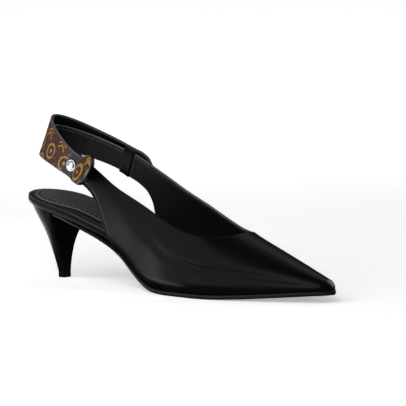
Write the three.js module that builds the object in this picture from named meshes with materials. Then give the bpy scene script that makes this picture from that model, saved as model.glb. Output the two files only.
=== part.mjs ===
// Slingback pump with a pointed toe and a low slim heel, the right shoe of a pair.
// Millimetres. +X runs to the toe, +Y to the medial side, +Z up. The origin is the centre
// of the heel tip's flat underside, on the floor that the shoe stands on.
import * as THREE from 'three';
import { mergeVertices } from 'three/addons/utils/BufferGeometryUtils.js';

// Driving dimensions.
const shoeLength = 256.2; // back of the seat to the toe tip
const heelSetback = 24.3; // back of the seat to the centre of the heel tip
const ballWidth = 70.5; // upper across the ball
const seatWidth = 53; // insole across the heel seat
const seatRound = 25.5; // length of the half ellipse that ends the seat
const heelHeight = 55; // rise of the sole's underside from the ball to the back of the seat
const toeSpring = 5.4; // rise of the sole's underside at the toe tip
const instepHeight = 43.4; // floor to the bottom of the throat
const slingHeight = 88; // floor to the upper edge of the quarters at the keepers
const slingFoot = 76; // floor to the lower edge of the quarters at the keepers
const wall = 1.8; // upper leather with its lining
const soleThickness = 3; // outsole at the ball
const soleMargin = 0.8; // outsole past the upper's lower edge
const insoleThickness = 5; // covered insole at the seat
const sockThickness = 1.2; // padded sock on the insole
const sockInset = 4.5; // insole's stitched binding that shows round the sock
const heelInset = 2.2; // heel's top inside the insole's edge
const breastReach = 10; // front of the heel's top, ahead of the heel tip's centre
const tipHeight = 4; // top piece under the heel
const tipLength = 7.8;
const tipWidth = 7.8;
const slingThickness = 1.8;
const bandThickness = 2.2; // canvas band outside the sling
const bandLift = 116; // floor to the band's upper edge at the back of the heel
const bandFoot = 90.6; // floor to the band's lower edge at the back of the heel
const bandLean = 5.4; // band's upper edge ahead of its lower edge at the back
const bandSetback = 13; // band's lower edge at the back, ahead of the back of the seat
const bandRise = 1.9; // band's upper edge past the sling's at the keepers
const keeperLength = 9.5; // keeper along the strap
const keeperFront = 0.9; // keeper behind the end of the quarter
const keeperWall = 1;
const keeperEase = 0.7; // room inside the keeper past the strap's edges
const keeperSlack = 0.3; // and off the strap's faces
const discDiameter = 22.5;
const discThickness = 3.2;
const rivetDiameter = 8.4;
const rivetDome = 2.2;
const toeRound = 6.5; // toe tip in plan
const toeNose = 5; // toe tip in profile
const gap = 0.3; // between faces that meet

const { PI, sin, cos, sqrt, asin, min, max, abs, sign } = Math;
const mix = (a, b, t) => a + (b - a) * t;
const clamp = (v, low = 0, high = 1) => min(max(v, low), high);
const smooth = (t) => t * t * (3 - 2 * t);
const vec = (x, y, z) => new THREE.Vector3(x, y, z);

// A table is named columns and one row for each section.
function table(names, ...rows) {
  return rows.map((row) => Object.fromEntries(names.map((name, i) => [name, row[i]])));
}

// One column of a table as a smooth function of its first column, with no overshoot.
function column(rows, by, name) {
  const at = rows.map((row) => row[by]);
  const value = rows.map((row) => row[name]);
  const secant = at.slice(1).map((x, i) => (value[i + 1] - value[i]) / (x - at[i]));
  const slope = at.map((x, i) => {
    const before = secant[i - 1] ?? secant[i];
    const after = secant[i] ?? before;
    return before * after <= 0 ? 0 : (2 * before * after) / (before + after);
  });
  return (x) => {
    const near = clamp(x, at[0], at[at.length - 1]);
    let i = 0;
    while (i < at.length - 2 && near > at[i + 1]) i++;
    const step = at[i + 1] - at[i];
    const t = (near - at[i]) / step;
    const bend = t * (1 - t);
    return mix(value[i], value[i + 1], smooth(t))
      + step * bend * (slope[i] * (1 - t) - slope[i + 1] * t);
  };
}

const toX = (at) => at * shoeLength - heelSetback;
const toAt = (x) => (x + heelSetback) / shoeLength;

// The last. at is the share of the shoe's length from the back. Widths are shares of a girth
// that goes from the seat's width to the ball's. The crown, where the section would close over
// the foot, is shares of the instep's and the sling's height.
const last = table(
  ['at', 'seat', 'lateral', 'medial', 'swell', 'ridge', 'instep', 'sling'],
  [0, 1, 0.5, 0.5, 0.09, 0, 0, 1.86],
  [0.112, 1, 0.5, 0.5, 0.1, 0, 0, 1.75],
  [0.23, 1, 0.495, 0.475, 0.11, 0, 0, 1.6],
  [0.346, 0.8, 0.458, 0.405, 0.105, 0, 0.1, 1.24],
  [0.463, 0.4, 0.45, 0.4, 0.087, 0.028, 0.4, 0.74],
  [0.561, 0, 0.475, 0.461, 0.068, 0.04, 0.7, 0.425],
  [0.642, 0, 0.489, 0.511, 0.052, 0.055, 0.9, 0.18],
  [0.725, 0, 0.433, 0.46, 0.032, 0.057, 1, 0],
  [0.815, 0, 0.323, 0.38, 0.024, 0.08, 0.77, 0],
  [0.912, 0, 0.165, 0.28, 0.018, 0.09, 0.53, 0],
  [0.967, 0, 0.054, 0.215, 0.014, 0.09, 0.395, 0],
  [1, 0, 0, 0.18, 0.009, 0.09, 0.32, 0],
);
const lastColumn = Object.fromEntries(Object.keys(last[0]).map((name) => [name, column(last, 'at', name)]));
const girth = (at) => mix(ballWidth, seatWidth, lastColumn.seat(at));
const halfOn = (at, side) => girth(at) * (side < 0 ? lastColumn.lateral(at) : lastColumn.medial(at));
const crownRows = last.map((row) => ({
  at: row.at,
  height: instepHeight * row.instep + slingHeight * row.sling,
}));
const crown = column(crownRows, 'at', 'height');

// The sole from the side. rise is a share of the heel's height, spring of the toe spring, stock
// of the sole's thickness and bed of the insole's.
const profile = table(
  ['at', 'rise', 'spring', 'stock', 'bed'],
  [0, 0.993, 0, 0.75, 1],
  [0.112, 0.88, 0, 0.75, 1],
  [0.213, 0.752, 0, 0.75, 1],
  [0.29, 0.626, 0, 0.75, 0.95],
  [0.346, 0.505, 0, 0.75, 0.85],
  [0.382, 0.392, 0, 0.8, 0.75],
  [0.423, 0.222, 0, 0.85, 0.65],
  [0.459, 0.092, 0, 0.95, 0.55],
  [0.489, 0.026, 0, 1, 0.5],
  [0.525, 0.003, 0, 1, 0.5],
  [0.55, 0, 0, 1, 0.5],
  [0.683, 0, 0, 1, 0.5],
  [0.76, 0, 0.17, 1, 0.45],
  [0.866, 0, 0.55, 1, 0.4],
  [0.957, 0, 0.88, 1, 0.4],
  [1, 0, 1, 1, 0.4],
);
const profileColumn = Object.fromEntries(
  Object.keys(profile[0]).map((name) => [name, column(profile, 'at', name)]),
);
const under = (at) => heelHeight * profileColumn.rise(at) + toeSpring * profileColumn.spring(at);
const soleTop = (at) => under(at) + soleThickness * profileColumn.stock(at);
const feather = (at) => soleTop(at) + gap; // lower edge of the upper, underside of the insole
const insoleTop = (at) => feather(at) + insoleThickness * profileColumn.bed(at);

// The outline in plan rounds off at the toe and at the seat.
const tipShare = (at, round) => sqrt(max(0, 1 - clamp((toX(at) - toX(1) + round) / round) ** 2));
const seatShare = (at) => sqrt(max(0, 1 - clamp((seatRound - at * shoeLength) / seatRound) ** 2));
const middle = (at) => (halfOn(at, 1) - halfOn(at, -1)) / 2;
const halfWidth = (at) => ((halfOn(at, 1) + halfOn(at, -1)) / 2) * tipShare(at, toeRound) * seatShare(at);

// A point on the outside of the upper, at a share of the section's height from the lower edge.
function skin(at, height, side) {
  const across = sqrt(1 - clamp(height) ** 2);
  const ridge = mix(middle(at), girth(at) * lastColumn.ridge(at), tipShare(at, toeRound));
  const edge = middle(at) + side * halfWidth(at);
  const swell = girth(at) * lastColumn.swell(at) * tipShare(at, toeRound);
  return vec(
    toX(at),
    ridge + (edge - ridge) * across + side * swell * 2 * height * across,
    feather(at) + (crown(at) - feather(at)) * tipShare(at, toeNose) * height,
  );
}
const heightOf = (at, z) => clamp((z - feather(at)) / (crown(at) - feather(at)));

// The topline from the throat back to the keepers. lateral and medial are shares of the rise
// from the instep's height to the sling's.
const topline = table(
  ['step', 'lateralAt', 'lateral', 'medialAt', 'medial'],
  [0, 0.725, 0, 0.725, 0],
  [0.07, 0.717, -0.019, 0.717, -0.019],
  [0.15, 0.69, -0.044, 0.69, -0.058],
  [0.24, 0.646, -0.034, 0.646, -0.032],
  [0.33, 0.591, 0.032, 0.591, 0.116],
  [0.46, 0.518, 0.2, 0.518, 0.37],
  [0.61, 0.438, 0.422, 0.438, 0.607],
  [0.77, 0.357, 0.65, 0.36, 0.812],
  [0.88, 0.31, 0.83, 0.318, 0.93],
  [1, 0.2635, 1, 0.2799, 1.016],
);
// The rear edge of the quarters, from the sole up to the keepers. lateral and medial are shares
// of the rise from the lower edge of the upper to the sling's foot.
const rearEdge = table(
  ['step', 'lateralAt', 'lateral', 'medialAt', 'medial'],
  [0, 0.35, 0, 0.375, 0],
  [0.15, 0.331, 0.197, 0.364, 0.197],
  [0.32, 0.318, 0.384, 0.354, 0.383],
  [0.5, 0.305, 0.581, 0.344, 0.58],
  [0.66, 0.289, 0.764, 0.322, 0.761],
  [0.8, 0.263, 0.894, 0.29, 0.87],
  [0.9, 0.243, 0.955, 0.272, 0.91],
  [1, 0.2248, 1, 0.2568, 0.94],
);

const stationCount = 40; // sections in the shoe's length, shared by sole, insole and upper
const noseStations = 5;
const quarterColumns = 24;
const skinRows = 9;

const sideOf = (side) => (side < 0 ? 'lateral' : 'medial');

function toplineAt(step, side) {
  const at = column(topline, 'step', `${sideOf(side)}At`)(step);
  const rise = column(topline, 'step', sideOf(side))(step);
  return { at, height: step === 0 ? 1 : heightOf(at, mix(instepHeight, slingHeight, rise)) };
}

function rearEdgeAt(step, side) {
  const at = column(rearEdge, 'step', `${sideOf(side)}At`)(step);
  const base = feather(rearEdge[0][`${sideOf(side)}At`]);
  const rise = column(rearEdge, 'step', sideOf(side))(step);
  return { at, height: step === 0 ? 0 : heightOf(at, mix(base, slingFoot, rise)) };
}

// The shared sections from one share of the length to another, both ends counted.
function sharedStations(from, to) {
  const list = [];
  for (let i = 0; i <= stationCount; i++) {
    const at = i / stationCount;
    if (at > from - 1e-6 && at < to + 1e-6) list.push(at);
  }
  return list;
}

// The columns of one side's grid, each from the lower edge to the ridge or the topline.
function upperColumns(side) {
  const throat = topline[0].lateralAt;
  const corner = rearEdge[0][`${sideOf(side)}At`];
  const columns = [];
  for (let i = 0; i <= noseStations; i++) {
    const at = toAt(toX(1) - toeRound * (1 - cos((PI / 2) * (i / noseStations))));
    columns.push([{ at, height: 0 }, { at, height: 1 }]);
  }
  for (const at of sharedStations(throat, columns[noseStations][0].at).reverse()) {
    columns.push([{ at, height: 0 }, { at, height: 1 }]);
  }
  const waist = sharedStations(corner, throat).reverse().slice(1);
  for (let i = 1; i <= quarterColumns; i++) {
    const lower = i <= waist.length
      ? { at: waist[i - 1], height: 0 }
      : rearEdgeAt((i - waist.length) / (quarterColumns - waist.length), side);
    columns.push([lower, toplineAt(i / quarterColumns, side)]);
  }
  return columns;
}

// Even steps of the section's arc between a column's two ends.
function alongColumn([lower, upper], share, side) {
  const at = mix(lower.at, upper.at, share);
  const arc = mix(asin(lower.height), asin(upper.height), share);
  return skin(at, upper.height === 1 && share === 1 ? 1 : sin(arc), side);
}

// A closed body from a sheet of triangles: the sheet, its other face and a wall round its edge.
function thicken(outer, other, faces) {
  const count = outer.length;
  const edges = new Map();
  const triangles = [];
  for (const [a, b, c] of faces) {
    triangles.push([a, b, c], [c + count, b + count, a + count]);
    for (const [p, q] of [[a, b], [b, c], [c, a]]) {
      if (!edges.delete(`${q},${p}`)) edges.set(`${p},${q}`, [p, q]);
    }
  }
  for (const [p, q] of edges.values()) {
    triangles.push([q, p, p + count], [q, p + count, q + count]);
  }
  return body([...outer, ...other], triangles);
}

function body(points, triangles) {
  const soup = new THREE.BufferGeometry();
  soup.setAttribute('position', new THREE.Float32BufferAttribute(points.flatMap((p) => [p.x, p.y, p.z]), 3));
  soup.setIndex(triangles.flat());
  const welded = mergeVertices(soup, 1e-3);
  const index = welded.index.array;
  const kept = [];
  for (let i = 0; i < index.length; i += 3) {
    const [a, b, c] = [index[i], index[i + 1], index[i + 2]];
    if (a !== b && b !== c && c !== a) kept.push(a, b, c);
  }
  welded.setIndex(kept);
  welded.computeVertexNormals();
  return welded;
}

// Triangles of a grid of points, row after row; wrap closes each row on itself.
function gridFaces(rows, across, wrap = false) {
  const faces = [];
  const at = (i, j) => i * across + (j % across);
  for (let i = 0; i < rows - 1; i++) {
    for (let j = 0; j < (wrap ? across : across - 1); j++) {
      faces.push([at(i, j), at(i + 1, j), at(i + 1, j + 1)], [at(i, j), at(i + 1, j + 1), at(i, j + 1)]);
    }
  }
  return faces;
}

// Area-weighted normals of a sheet whose coinciding points count as one.
function sheetNormals(points, faces) {
  const key = (p) => `${p.x.toFixed(3)},${p.y.toFixed(3)},${p.z.toFixed(3)}`;
  const sums = new Map(points.map((p) => [key(p), vec(0, 0, 0)]));
  for (const [a, b, c] of faces) {
    const normal = points[b].clone().sub(points[a]).cross(points[c].clone().sub(points[a]));
    for (const i of [a, b, c]) sums.get(key(points[i])).add(normal);
  }
  return points.map((p) => sums.get(key(p)).clone().normalize());
}

function upper() {
  const points = [];
  const faces = [];
  const found = new Map();
  const place = (p) => {
    const key = `${p.x.toFixed(3)},${p.y.toFixed(3)},${p.z.toFixed(3)}`;
    if (!found.has(key)) found.set(key, points.push(p) - 1);
    return found.get(key);
  };
  for (const side of [-1, 1]) {
    const ids = upperColumns(side).map((ends) => {
      const rows = Array.from({ length: skinRows + 1 }, (_, j) => alongColumn(ends, j / skinRows, side));
      return rows.map(place);
    });
    for (let i = 0; i < ids.length - 1; i++) {
      for (let j = 0; j < skinRows; j++) {
        const quad = [ids[i][j], ids[i + 1][j], ids[i + 1][j + 1], ids[i][j + 1]];
        if (side < 0) quad.reverse();
        for (const face of [[quad[0], quad[1], quad[2]], [quad[0], quad[2], quad[3]]]) {
          if (new Set(face).size === 3) faces.push(face);
        }
      }
    }
  }
  const normals = sheetNormals(points, faces);
  const inner = points.map((p, i) => {
    const q = p.clone().addScaledVector(normals[i], -wall);
    const at = toAt(p.x);
    if (abs(p.z - feather(at)) < gap) {
      const level = vec(normals[i].x, normals[i].y, 0).normalize();
      q.set(p.x - level.x * wall, p.y - level.y * wall, p.z);
    }
    return q;
  });
  return thicken(points, inner, faces);
}

// A slab under or over the foot: top and underside between two outlines in plan.
function slab(stations, edge, topOf, underOf, across) {
  const top = [];
  const bottom = [];
  for (const at of stations) {
    for (let j = 0; j <= across; j++) {
      const { x, y } = edge(at, (2 * j) / across - 1);
      top.push(vec(x, y, topOf(toAt(x))));
      bottom.push(vec(x, y, underOf(toAt(x))));
    }
  }
  return thicken(top, bottom, gridFaces(stations.length, across + 1).filter((f) => !flat(top, f)));
}
const flat = (points, [a, b, c]) =>
  points[b].clone().sub(points[a]).cross(points[c].clone().sub(points[a])).length() < 1e-6;

// The shared sections between two ends, with more of them where an end rounds off.
function stationsBetween(from, to, roundFrom, roundTo, ends = 6) {
  const list = [];
  const start = toAt(toX(from) + roundFrom);
  const stop = toAt(toX(to) - roundTo);
  for (let i = 0; roundFrom && i < ends; i++) list.push(mix(from, start, 1 - cos((PI / 2) * (i / ends))));
  const close = 0.2 / stationCount;
  list.push(start, ...sharedStations(start + close, stop - close), stop);
  for (let i = 1; roundTo && i <= ends; i++) list.push(mix(stop, to, sin((PI / 2) * (i / ends))));
  return list;
}

function outsole() {
  const breast = toAt(breastReach + gap);
  const stations = stationsBetween(breast, 1, 0, toeRound);
  const edge = (at, t) => {
    const tip = tipShare(at, toeRound);
    const half = halfWidth(at) + soleMargin * (tip < 1 ? tip : smooth(clamp((at - breast) / 0.1)));
    const x = toX(at) + soleMargin * (1 - tip);
    return vec(x, middle(at) + t * (half - heelInset * (1 - smooth(clamp((at - breast) / 0.1)))), 0);
  };
  return slab(stations, edge, (at) => soleTop(min(at, 1)), (at) => under(min(at, 1)), 4);
}

// How far the insole's edge is inside the last: flush at the seat, inside the upper ahead of it.
const insoleInset = (at) => mix(0, wall + gap, smooth(clamp((at - 0.25) / 0.065)));

function footbed(inset, from, to, topOf, underOf, seatEnd, toeEnd) {
  const stations = stationsBetween(from, to, seatEnd, toeEnd);
  const edge = (at, t) => {
    const seat = (seatRound - at * shoeLength) / seatRound;
    const d = insoleInset(at) + inset;
    if (seat > 0) {
      const turn = asin(clamp(seat));
      const x = toX(0) + seatRound - (seatRound - d) * sin(turn);
      return vec(x, middle(at) + t * ((halfOn(at, 1) + halfOn(at, -1)) / 2 - d) * cos(turn), 0);
    }
    const tip = clamp((toX(at) - toX(to) + toeEnd) / toeEnd);
    const half = (halfOn(at, 1) + halfOn(at, -1)) / 2 - d;
    return vec(toX(at), middle(at) + t * max(0, half) * sqrt(max(0, 1 - tip * tip)), 0);
  };
  return slab(stations, edge, topOf, underOf, 6);
}

function insole() {
  return footbed(0, 0, toAt(toX(1) - wall - toeRound), insoleTop, feather, seatRound, toeRound);
}

function sock() {
  const bottom = (at) => insoleTop(at) + gap;
  return footbed(sockInset, 0, 0.86, (at) => bottom(at) + sockThickness, bottom, seatRound, toeRound);
}

// The heel between the tip's outline and the seat's. flare is the share of the way from one to
// the other, at a share of the height.
const heelShape = table(
  ['level', 'back', 'breast', 'half'],
  [0, 0, 0, 0],
  [0.2, 0.14, -0.12, 0.113],
  [0.4, 0.315, -0.12, 0.265],
  [0.6, 0.48, 0.03, 0.495],
  [0.8, 0.71, 0.48, 0.79],
  [0.92, 0.895, 0.75, 0.93],
  [1, 1, 1, 1],
);
const heelRound = 32; // points round the heel
const breastCorner = 0.3; // the breast is flat with tight corners: 1 is an ellipse, 0 a rectangle

function heelRing(back, breast, half) {
  return Array.from({ length: heelRound }, (_, i) => {
    const turn = (2 * PI * i) / heelRound;
    const [c, s] = [cos(turn), sin(turn)];
    return c < 0
      ? { x: back * c, y: half * s }
      : { x: breast * c ** breastCorner, y: half * sign(s) * abs(s) ** breastCorner };
  });
}

function heel() {
  const foot = tipHeight + gap;
  const points = [];
  const rings = 12;
  for (let i = 0; i <= rings; i++) {
    const level = i / rings;
    const share = (name) => column(heelShape, 'level', name)(level);
    const back = mix(tipLength / 2, heelSetback - heelInset, share('back'));
    const breast = mix(tipLength / 2, breastReach, share('breast'));
    const half = mix(tipWidth / 2, seatWidth / 2 - heelInset, share('half'));
    for (const { x, y } of heelRing(back, breast, half)) {
      points.push(vec(x, y, mix(foot, feather(toAt(x)) - gap, level)));
    }
  }
  const faces = gridFaces(rings + 1, heelRound, true);
  const low = points.push(vec(0, 0, foot)) - 1;
  const high = points.push(vec(0, 0, feather(toAt(0)) - gap)) - 1;
  const top = rings * heelRound;
  for (let j = 0; j < heelRound; j++) {
    const next = (j + 1) % heelRound;
    faces.push([low, j, next], [high, top + next, top + j]);
  }
  return body(points, faces.map((f) => [f[0], f[2], f[1]]));
}

function heelTip() {
  const ring = heelRing(tipLength / 2, tipLength / 2, tipWidth / 2);
  const shape = new THREE.Shape(ring.map(({ x, y }) => new THREE.Vector2(x, y)));
  const extruded = new THREE.ExtrudeGeometry(shape, { depth: tipHeight, bevelEnabled: false });
  extruded.deleteAttribute('uv');
  extruded.deleteAttribute('normal');
  return mergeVertices(extruded, 1e-3);
}

// Each side's quarter ends on the line between these two points, where the sling meets it.
const quarterEnd = Object.fromEntries([-1, 1].map((side) => {
  const [foot, head] = [rearEdgeAt(1, side), toplineAt(1, side)];
  return [sideOf(side), { foot: skin(foot.at, foot.height, side), head: skin(head.at, head.height, side) }];
}));

// The edges of the strap round the heel, each from the back to the keepers: round shapes it in
// plan and fall shapes its height.
const bandEdges = [
  { backX: bandSetback - heelSetback, backZ: bandFoot, round: 0.75, fall: 0.72 },
  { backX: bandSetback - heelSetback + bandLean, backZ: bandLift, round: 1.45, fall: 1.12 },
];

// The strap's bow in plan, rounded at the very back.
const backRound = 0.08;
const bow = (s, round) => s * ((s * s + backRound) / (1 + backRound)) ** ((round - 1) / 2);

// A point on the outside of the sling, turn from -90 degrees at the lateral quarter to 90 at the
// medial one, v from the lower edge at 0 to the sling's upper edge at 1.
function slingFace(turn, v) {
  const back = max(0, cos(turn));
  const { foot, head } = quarterEnd[sideOf(turn)];
  const [low, high] = bandEdges.map((edge, i) => {
    const end = [foot, head][i];
    return vec(
      mix(end.x, edge.backX, back),
      end.y * bow(abs(sin(turn)), edge.round),
      mix(end.z, edge.backZ, back ** edge.fall),
    );
  });
  return low.lerp(high, v);
}

function slingNormal(turn, v) {
  const nudge = 0.02;
  const along = slingFace(min(turn + nudge, PI / 2), v).sub(slingFace(max(turn - nudge, -PI / 2), v));
  const up = slingFace(turn, 1).sub(slingFace(turn, 0));
  return up.cross(along).normalize();
}

// A strip on the sling's face between two depths, positive outward.
function strip({ from, to, steps, low, high, inside, outside }) {
  const rows = 3;
  const outer = [];
  const inner = [];
  for (let i = 0; i <= steps; i++) {
    const turn = mix(from, to, i / steps);
    for (let j = 0; j <= rows; j++) {
      const v = mix(low(turn), high(turn), j / rows);
      const point = slingFace(turn, v);
      const normal = slingNormal(turn, v);
      outer.push(point.clone().addScaledVector(normal, outside(turn)));
      inner.push(point.clone().addScaledVector(normal, inside(turn)));
    }
  }
  return thicken(outer, inner, gridFaces(steps + 1, rows + 1).map(([a, b, c]) => [a, c, b]));
}

const strapWidth = quarterEnd.lateral.head.distanceTo(quarterEnd.lateral.foot);
const bandTop = 1 + bandRise / strapWidth; // band's upper edge at the keepers, the sling's being 1
const slingDrop = 0.27; // how much lower the sling's upper edge is than the band's at the back
const canvasEnd = (78 * PI) / 180; // canvas gives way to the leather end, from the back
const rampStart = (52 * PI) / 180; // the band leaves the sling to pass outside the keeper
const keeperDepth = keeperWall + 2 * keeperSlack; // band's inner face off the sling's at the keeper
const ramp = (turn) => smooth(clamp((abs(turn) - rampStart) / (canvasEnd - rampStart)));
const lift = (turn) => mix(gap, keeperDepth, ramp(turn));
const bandHigh = (turn) => mix(bandTop, 1, cos(turn));

function sling() {
  const end = PI / 2 - gapTurn;
  return strip({
    from: -end,
    to: end,
    steps: 28,
    low: (turn) => 0.03 * cos(turn),
    high: (turn) => 1 - slingDrop * cos(turn),
    inside: () => -slingThickness,
    outside: () => 0,
  });
}

function canvasBand() {
  return strip({
    from: -canvasEnd,
    to: canvasEnd,
    steps: 28,
    low: () => 0,
    high: bandHigh,
    inside: lift,
    outside: (turn) => lift(turn) + bandThickness,
  });
}

// How far round the strap is, in turn, at a distance behind the end of a side's quarter.
function turnBehind(side, distance) {
  const step = 0.1;
  const pace = slingFace((side * PI) / 2, 0.5).distanceTo(slingFace(side * (PI / 2 - step), 0.5)) / step;
  return side * (PI / 2 - distance / pace);
}

const gapTurn = PI / 2 - turnBehind(1, 2 * gap); // between two ends, one of them leaning

// The discs: the face's centre from the middle of the keeper, in shares of the disc's diameter,
// and how far it turns to the back and upward, in degrees.
const discs = table(
  ['side', 'ahead', 'out', 'up', 'turnBack', 'tipUp'],
  [-1, 0.745, 0.56, -0.005, 24, 28],
  [1, 0.889, 0.489, -0.756, -15, 12],
);

function discFrame({ side, ahead, out, up, turnBack, tipUp }) {
  const centre = slingFace(turnBehind(side, keeperFront + keeperLength / 2), 0.5);
  const [back, tip] = [turnBack, tipUp].map((angle) => (angle * PI) / 180);
  const n = vec(-sin(back) * cos(tip), side * cos(back) * cos(tip), sin(tip));
  return { centre: centre.addScaledVector(vec(ahead, side * out, up), discDiameter), n };
}

// The leather end of the band, from the canvas over the keeper and out to the back of the disc.
function strapEnd(disc) {
  const { side } = disc;
  const face = discFrame(disc);
  const steps = 16;
  const overKeeper = 8; // steps that follow the strap before it leaves for the disc
  const tongue = discDiameter * 0.36;
  const start = canvasEnd + gapTurn;
  const leaveTurn = side * (PI / 2 - 0.01);
  const outer = [];
  const inner = [];
  const [low, high] = [0, bandTop].map((v) => slingFace(leaveTurn, v));
  const width = high.distanceTo(low);
  const leaveUp = high.clone().sub(low).normalize();
  const leaveNormal = slingNormal(leaveTurn, 0.5);
  const leave = low.lerp(high, 0.5).addScaledVector(leaveNormal, keeperDepth);
  const ahead = leaveNormal.clone().cross(leaveUp).multiplyScalar(side);
  const reach = face.centre.clone().addScaledVector(face.n, -discThickness - gap - bandThickness);
  const toPlane = reach.clone().sub(leave).dot(face.n) / ahead.dot(face.n); // the disc's back plane
  const bendAt = clamp(toPlane / leave.distanceTo(reach), 0.1, 0.7);
  const forward = leave.clone().addScaledVector(ahead, leave.distanceTo(reach) * bendAt);
  const flatUp = vec(0, 0, 1).addScaledVector(face.n, -face.n.z).normalize();
  for (let i = 0; i <= steps; i++) {
    for (const v of [0, 1 / 3, 2 / 3, 1]) {
      if (i <= overKeeper) {
        const turn = mix(side * start, leaveTurn, i / overKeeper);
        const row = v * bandHigh(turn);
        const point = slingFace(turn, row);
        const normal = slingNormal(turn, row);
        outer.push(point.clone().addScaledVector(normal, keeperDepth + bandThickness));
        inner.push(point.clone().addScaledVector(normal, keeperDepth));
      } else {
        const t = (i - overKeeper) / (steps - overKeeper);
        const point = leave.clone().lerp(forward, t).lerp(forward.clone().lerp(reach, t), t);
        const normal = leaveNormal.clone().lerp(face.n, smooth(t)).normalize();
        const rise = leaveUp.clone().lerp(flatUp, smooth(t)).normalize();
        point.addScaledVector(rise, (v - 0.5) * mix(width, tongue, smooth(t)));
        outer.push(point.clone().addScaledVector(normal, bandThickness));
        inner.push(point);
      }
    }
  }
  return outward(thicken(outer, inner, gridFaces(steps + 1, 4)));
}

// A ring that follows the strap, rounded outside, with room inside for the strap.
function keeper(side) {
  const corners = [[1, 1], [0, 1], [0, -1], [1, -1]]; // upper or lower edge, outer or inner face
  const loop = [];
  for (const [grow, round] of [[keeperWall, 1.1], [0, 0.3]]) {
    corners.forEach(([edge, face], i) => {
      for (let k = 0; k <= 2; k++) {
        const turn = (PI / 2) * (i + k / 2);
        const past = keeperEase + grow - round * (1 - abs(cos(turn)));
        const off = keeperSlack + grow - round * (1 - abs(sin(turn)));
        loop.push({ edge, past, depth: face > 0 ? off : -slingThickness - off });
      }
    });
  }
  const points = [];
  const stations = 4;
  for (let i = 0; i <= stations; i++) {
    const turn = turnBehind(side, keeperFront + (keeperLength * i) / stations);
    const up = slingFace(turn, 1).sub(slingFace(turn, 0)).normalize();
    for (const { edge, past, depth } of loop) {
      points.push(slingFace(turn, edge).addScaledVector(up, edge ? past : -past)
        .addScaledVector(slingNormal(turn, 0.5), depth));
    }
  }
  const around = loop.length / 2;
  const id = (station, skinOf, j) => (station * 2 + skinOf) * around + (j % around);
  const faces = [];
  const quad = (p, q, r, t) => faces.push([p, q, r], [p, r, t]);
  for (let j = 0; j < around; j++) {
    for (let i = 0; i < stations; i++) {
      quad(id(i, 0, j), id(i + 1, 0, j), id(i + 1, 0, j + 1), id(i, 0, j + 1));
      quad(id(i + 1, 1, j), id(i, 1, j), id(i, 1, j + 1), id(i + 1, 1, j + 1));
    }
    quad(id(stations, 0, j), id(stations, 1, j), id(stations, 1, j + 1), id(stations, 0, j + 1));
    quad(id(0, 1, j), id(0, 0, j), id(0, 0, j + 1), id(0, 1, j + 1));
  }
  return outward(body(points, faces));
}

// The same body with its faces pointing out, whichever way its sheet was laid.
function outward(geometry) {
  const { array } = geometry.attributes.position;
  const index = Array.from(geometry.index.array);
  const corner = (i) => vec(array[3 * i], array[3 * i + 1], array[3 * i + 2]);
  let volume = 0;
  for (let i = 0; i < index.length; i += 3) {
    volume += corner(index[i]).dot(corner(index[i + 1]).cross(corner(index[i + 2])));
  }
  if (volume < 0) geometry.setIndex(index.reverse());
  return geometry;
}

// A turned piece with its back at the origin, facing +Z.
function turned(profile, segments) {
  const lathe = new THREE.LatheGeometry(profile.map(([r, z]) => new THREE.Vector2(r, z)), segments);
  lathe.rotateX(PI / 2);
  lathe.deleteAttribute('uv');
  lathe.deleteAttribute('normal');
  const welded = mergeVertices(lathe, 1e-3);
  const { array } = welded.attributes.position;
  return outward(body(
    Array.from({ length: array.length / 3 }, (_, i) => vec(array[3 * i], array[3 * i + 1], array[3 * i + 2])),
    Array.from({ length: welded.index.count / 3 }, (_, i) => Array.from(welded.index.array.slice(3 * i, 3 * i + 3))),
  ));
}

function disc() {
  const r = discDiameter / 2;
  const soft = discThickness * 0.22;
  return turned([
    [0, 0], [r - soft, 0], [r, soft], [r, discThickness - soft], [r - soft, discThickness], [0, discThickness],
  ], 28);
}

function rivet() {
  const r = rivetDiameter / 2;
  const domed = [80, 60, 40, 20].map((angle) => {
    const turn = (angle * PI) / 180;
    return [r * sin(turn), rivetDome * (0.25 + 0.75 * cos(turn))];
  });
  return turned([[0, 0], [r, 0], ...domed, [0, rivetDome]], 16);
}

const rivetTurn = (84 * PI) / 180; // from the back of the strap
const rivetRow = 0.53; // between the band's lower and upper edge

const group = new THREE.Group();

function add(name, geometry, color, roughness, metalness = 0) {
  const mesh = new THREE.Mesh(geometry, new THREE.MeshStandardMaterial({ color, roughness, metalness }));
  mesh.name = name;
  group.add(mesh);
  return mesh;
}

// Sets a turned piece on a face.
function seat(mesh, centre, n) {
  mesh.position.copy(centre);
  mesh.quaternion.setFromUnitVectors(vec(0, 0, 1), n);
}

const black = 0x161616;
const canvas = 0x4a2c20;

add('upper', upper(), black, 0.35);
add('outsole', outsole(), 0x1c1c1c, 0.45);
add('insole', insole(), 0x1a1a1a, 0.5);
add('sock', sock(), 0x2b2b2b, 0.6);
add('heel', heel(), black, 0.35);
add('heel_tip', heelTip(), 0x141414, 0.6);
add('sling', sling(), black, 0.4);
add('canvas_band', canvasBand(), canvas, 0.6);
for (const row of discs) {
  const { side } = row;
  const label = sideOf(side);
  add(`keeper_${label}`, keeper(side), black, 0.4);
  add(`strap_end_${label}`, strapEnd(row), black, 0.4);
  const face = discFrame(row);
  seat(
    add(`disc_${label}`, disc(), canvas, 0.55),
    face.centre.clone().addScaledVector(face.n, -discThickness),
    face.n,
  );
  const turn = side * rivetTurn;
  const n = slingNormal(turn, rivetRow);
  seat(
    add(`rivet_${label}`, rivet(), 0xd8d8d8, 0.15, 1),
    slingFace(turn, rivetRow).addScaledVector(n, keeperDepth + bandThickness + gap),
    n,
  );
}

export default group;
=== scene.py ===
import math

import bpy
import numpy as np
from mathutils import Matrix, Vector


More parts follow.
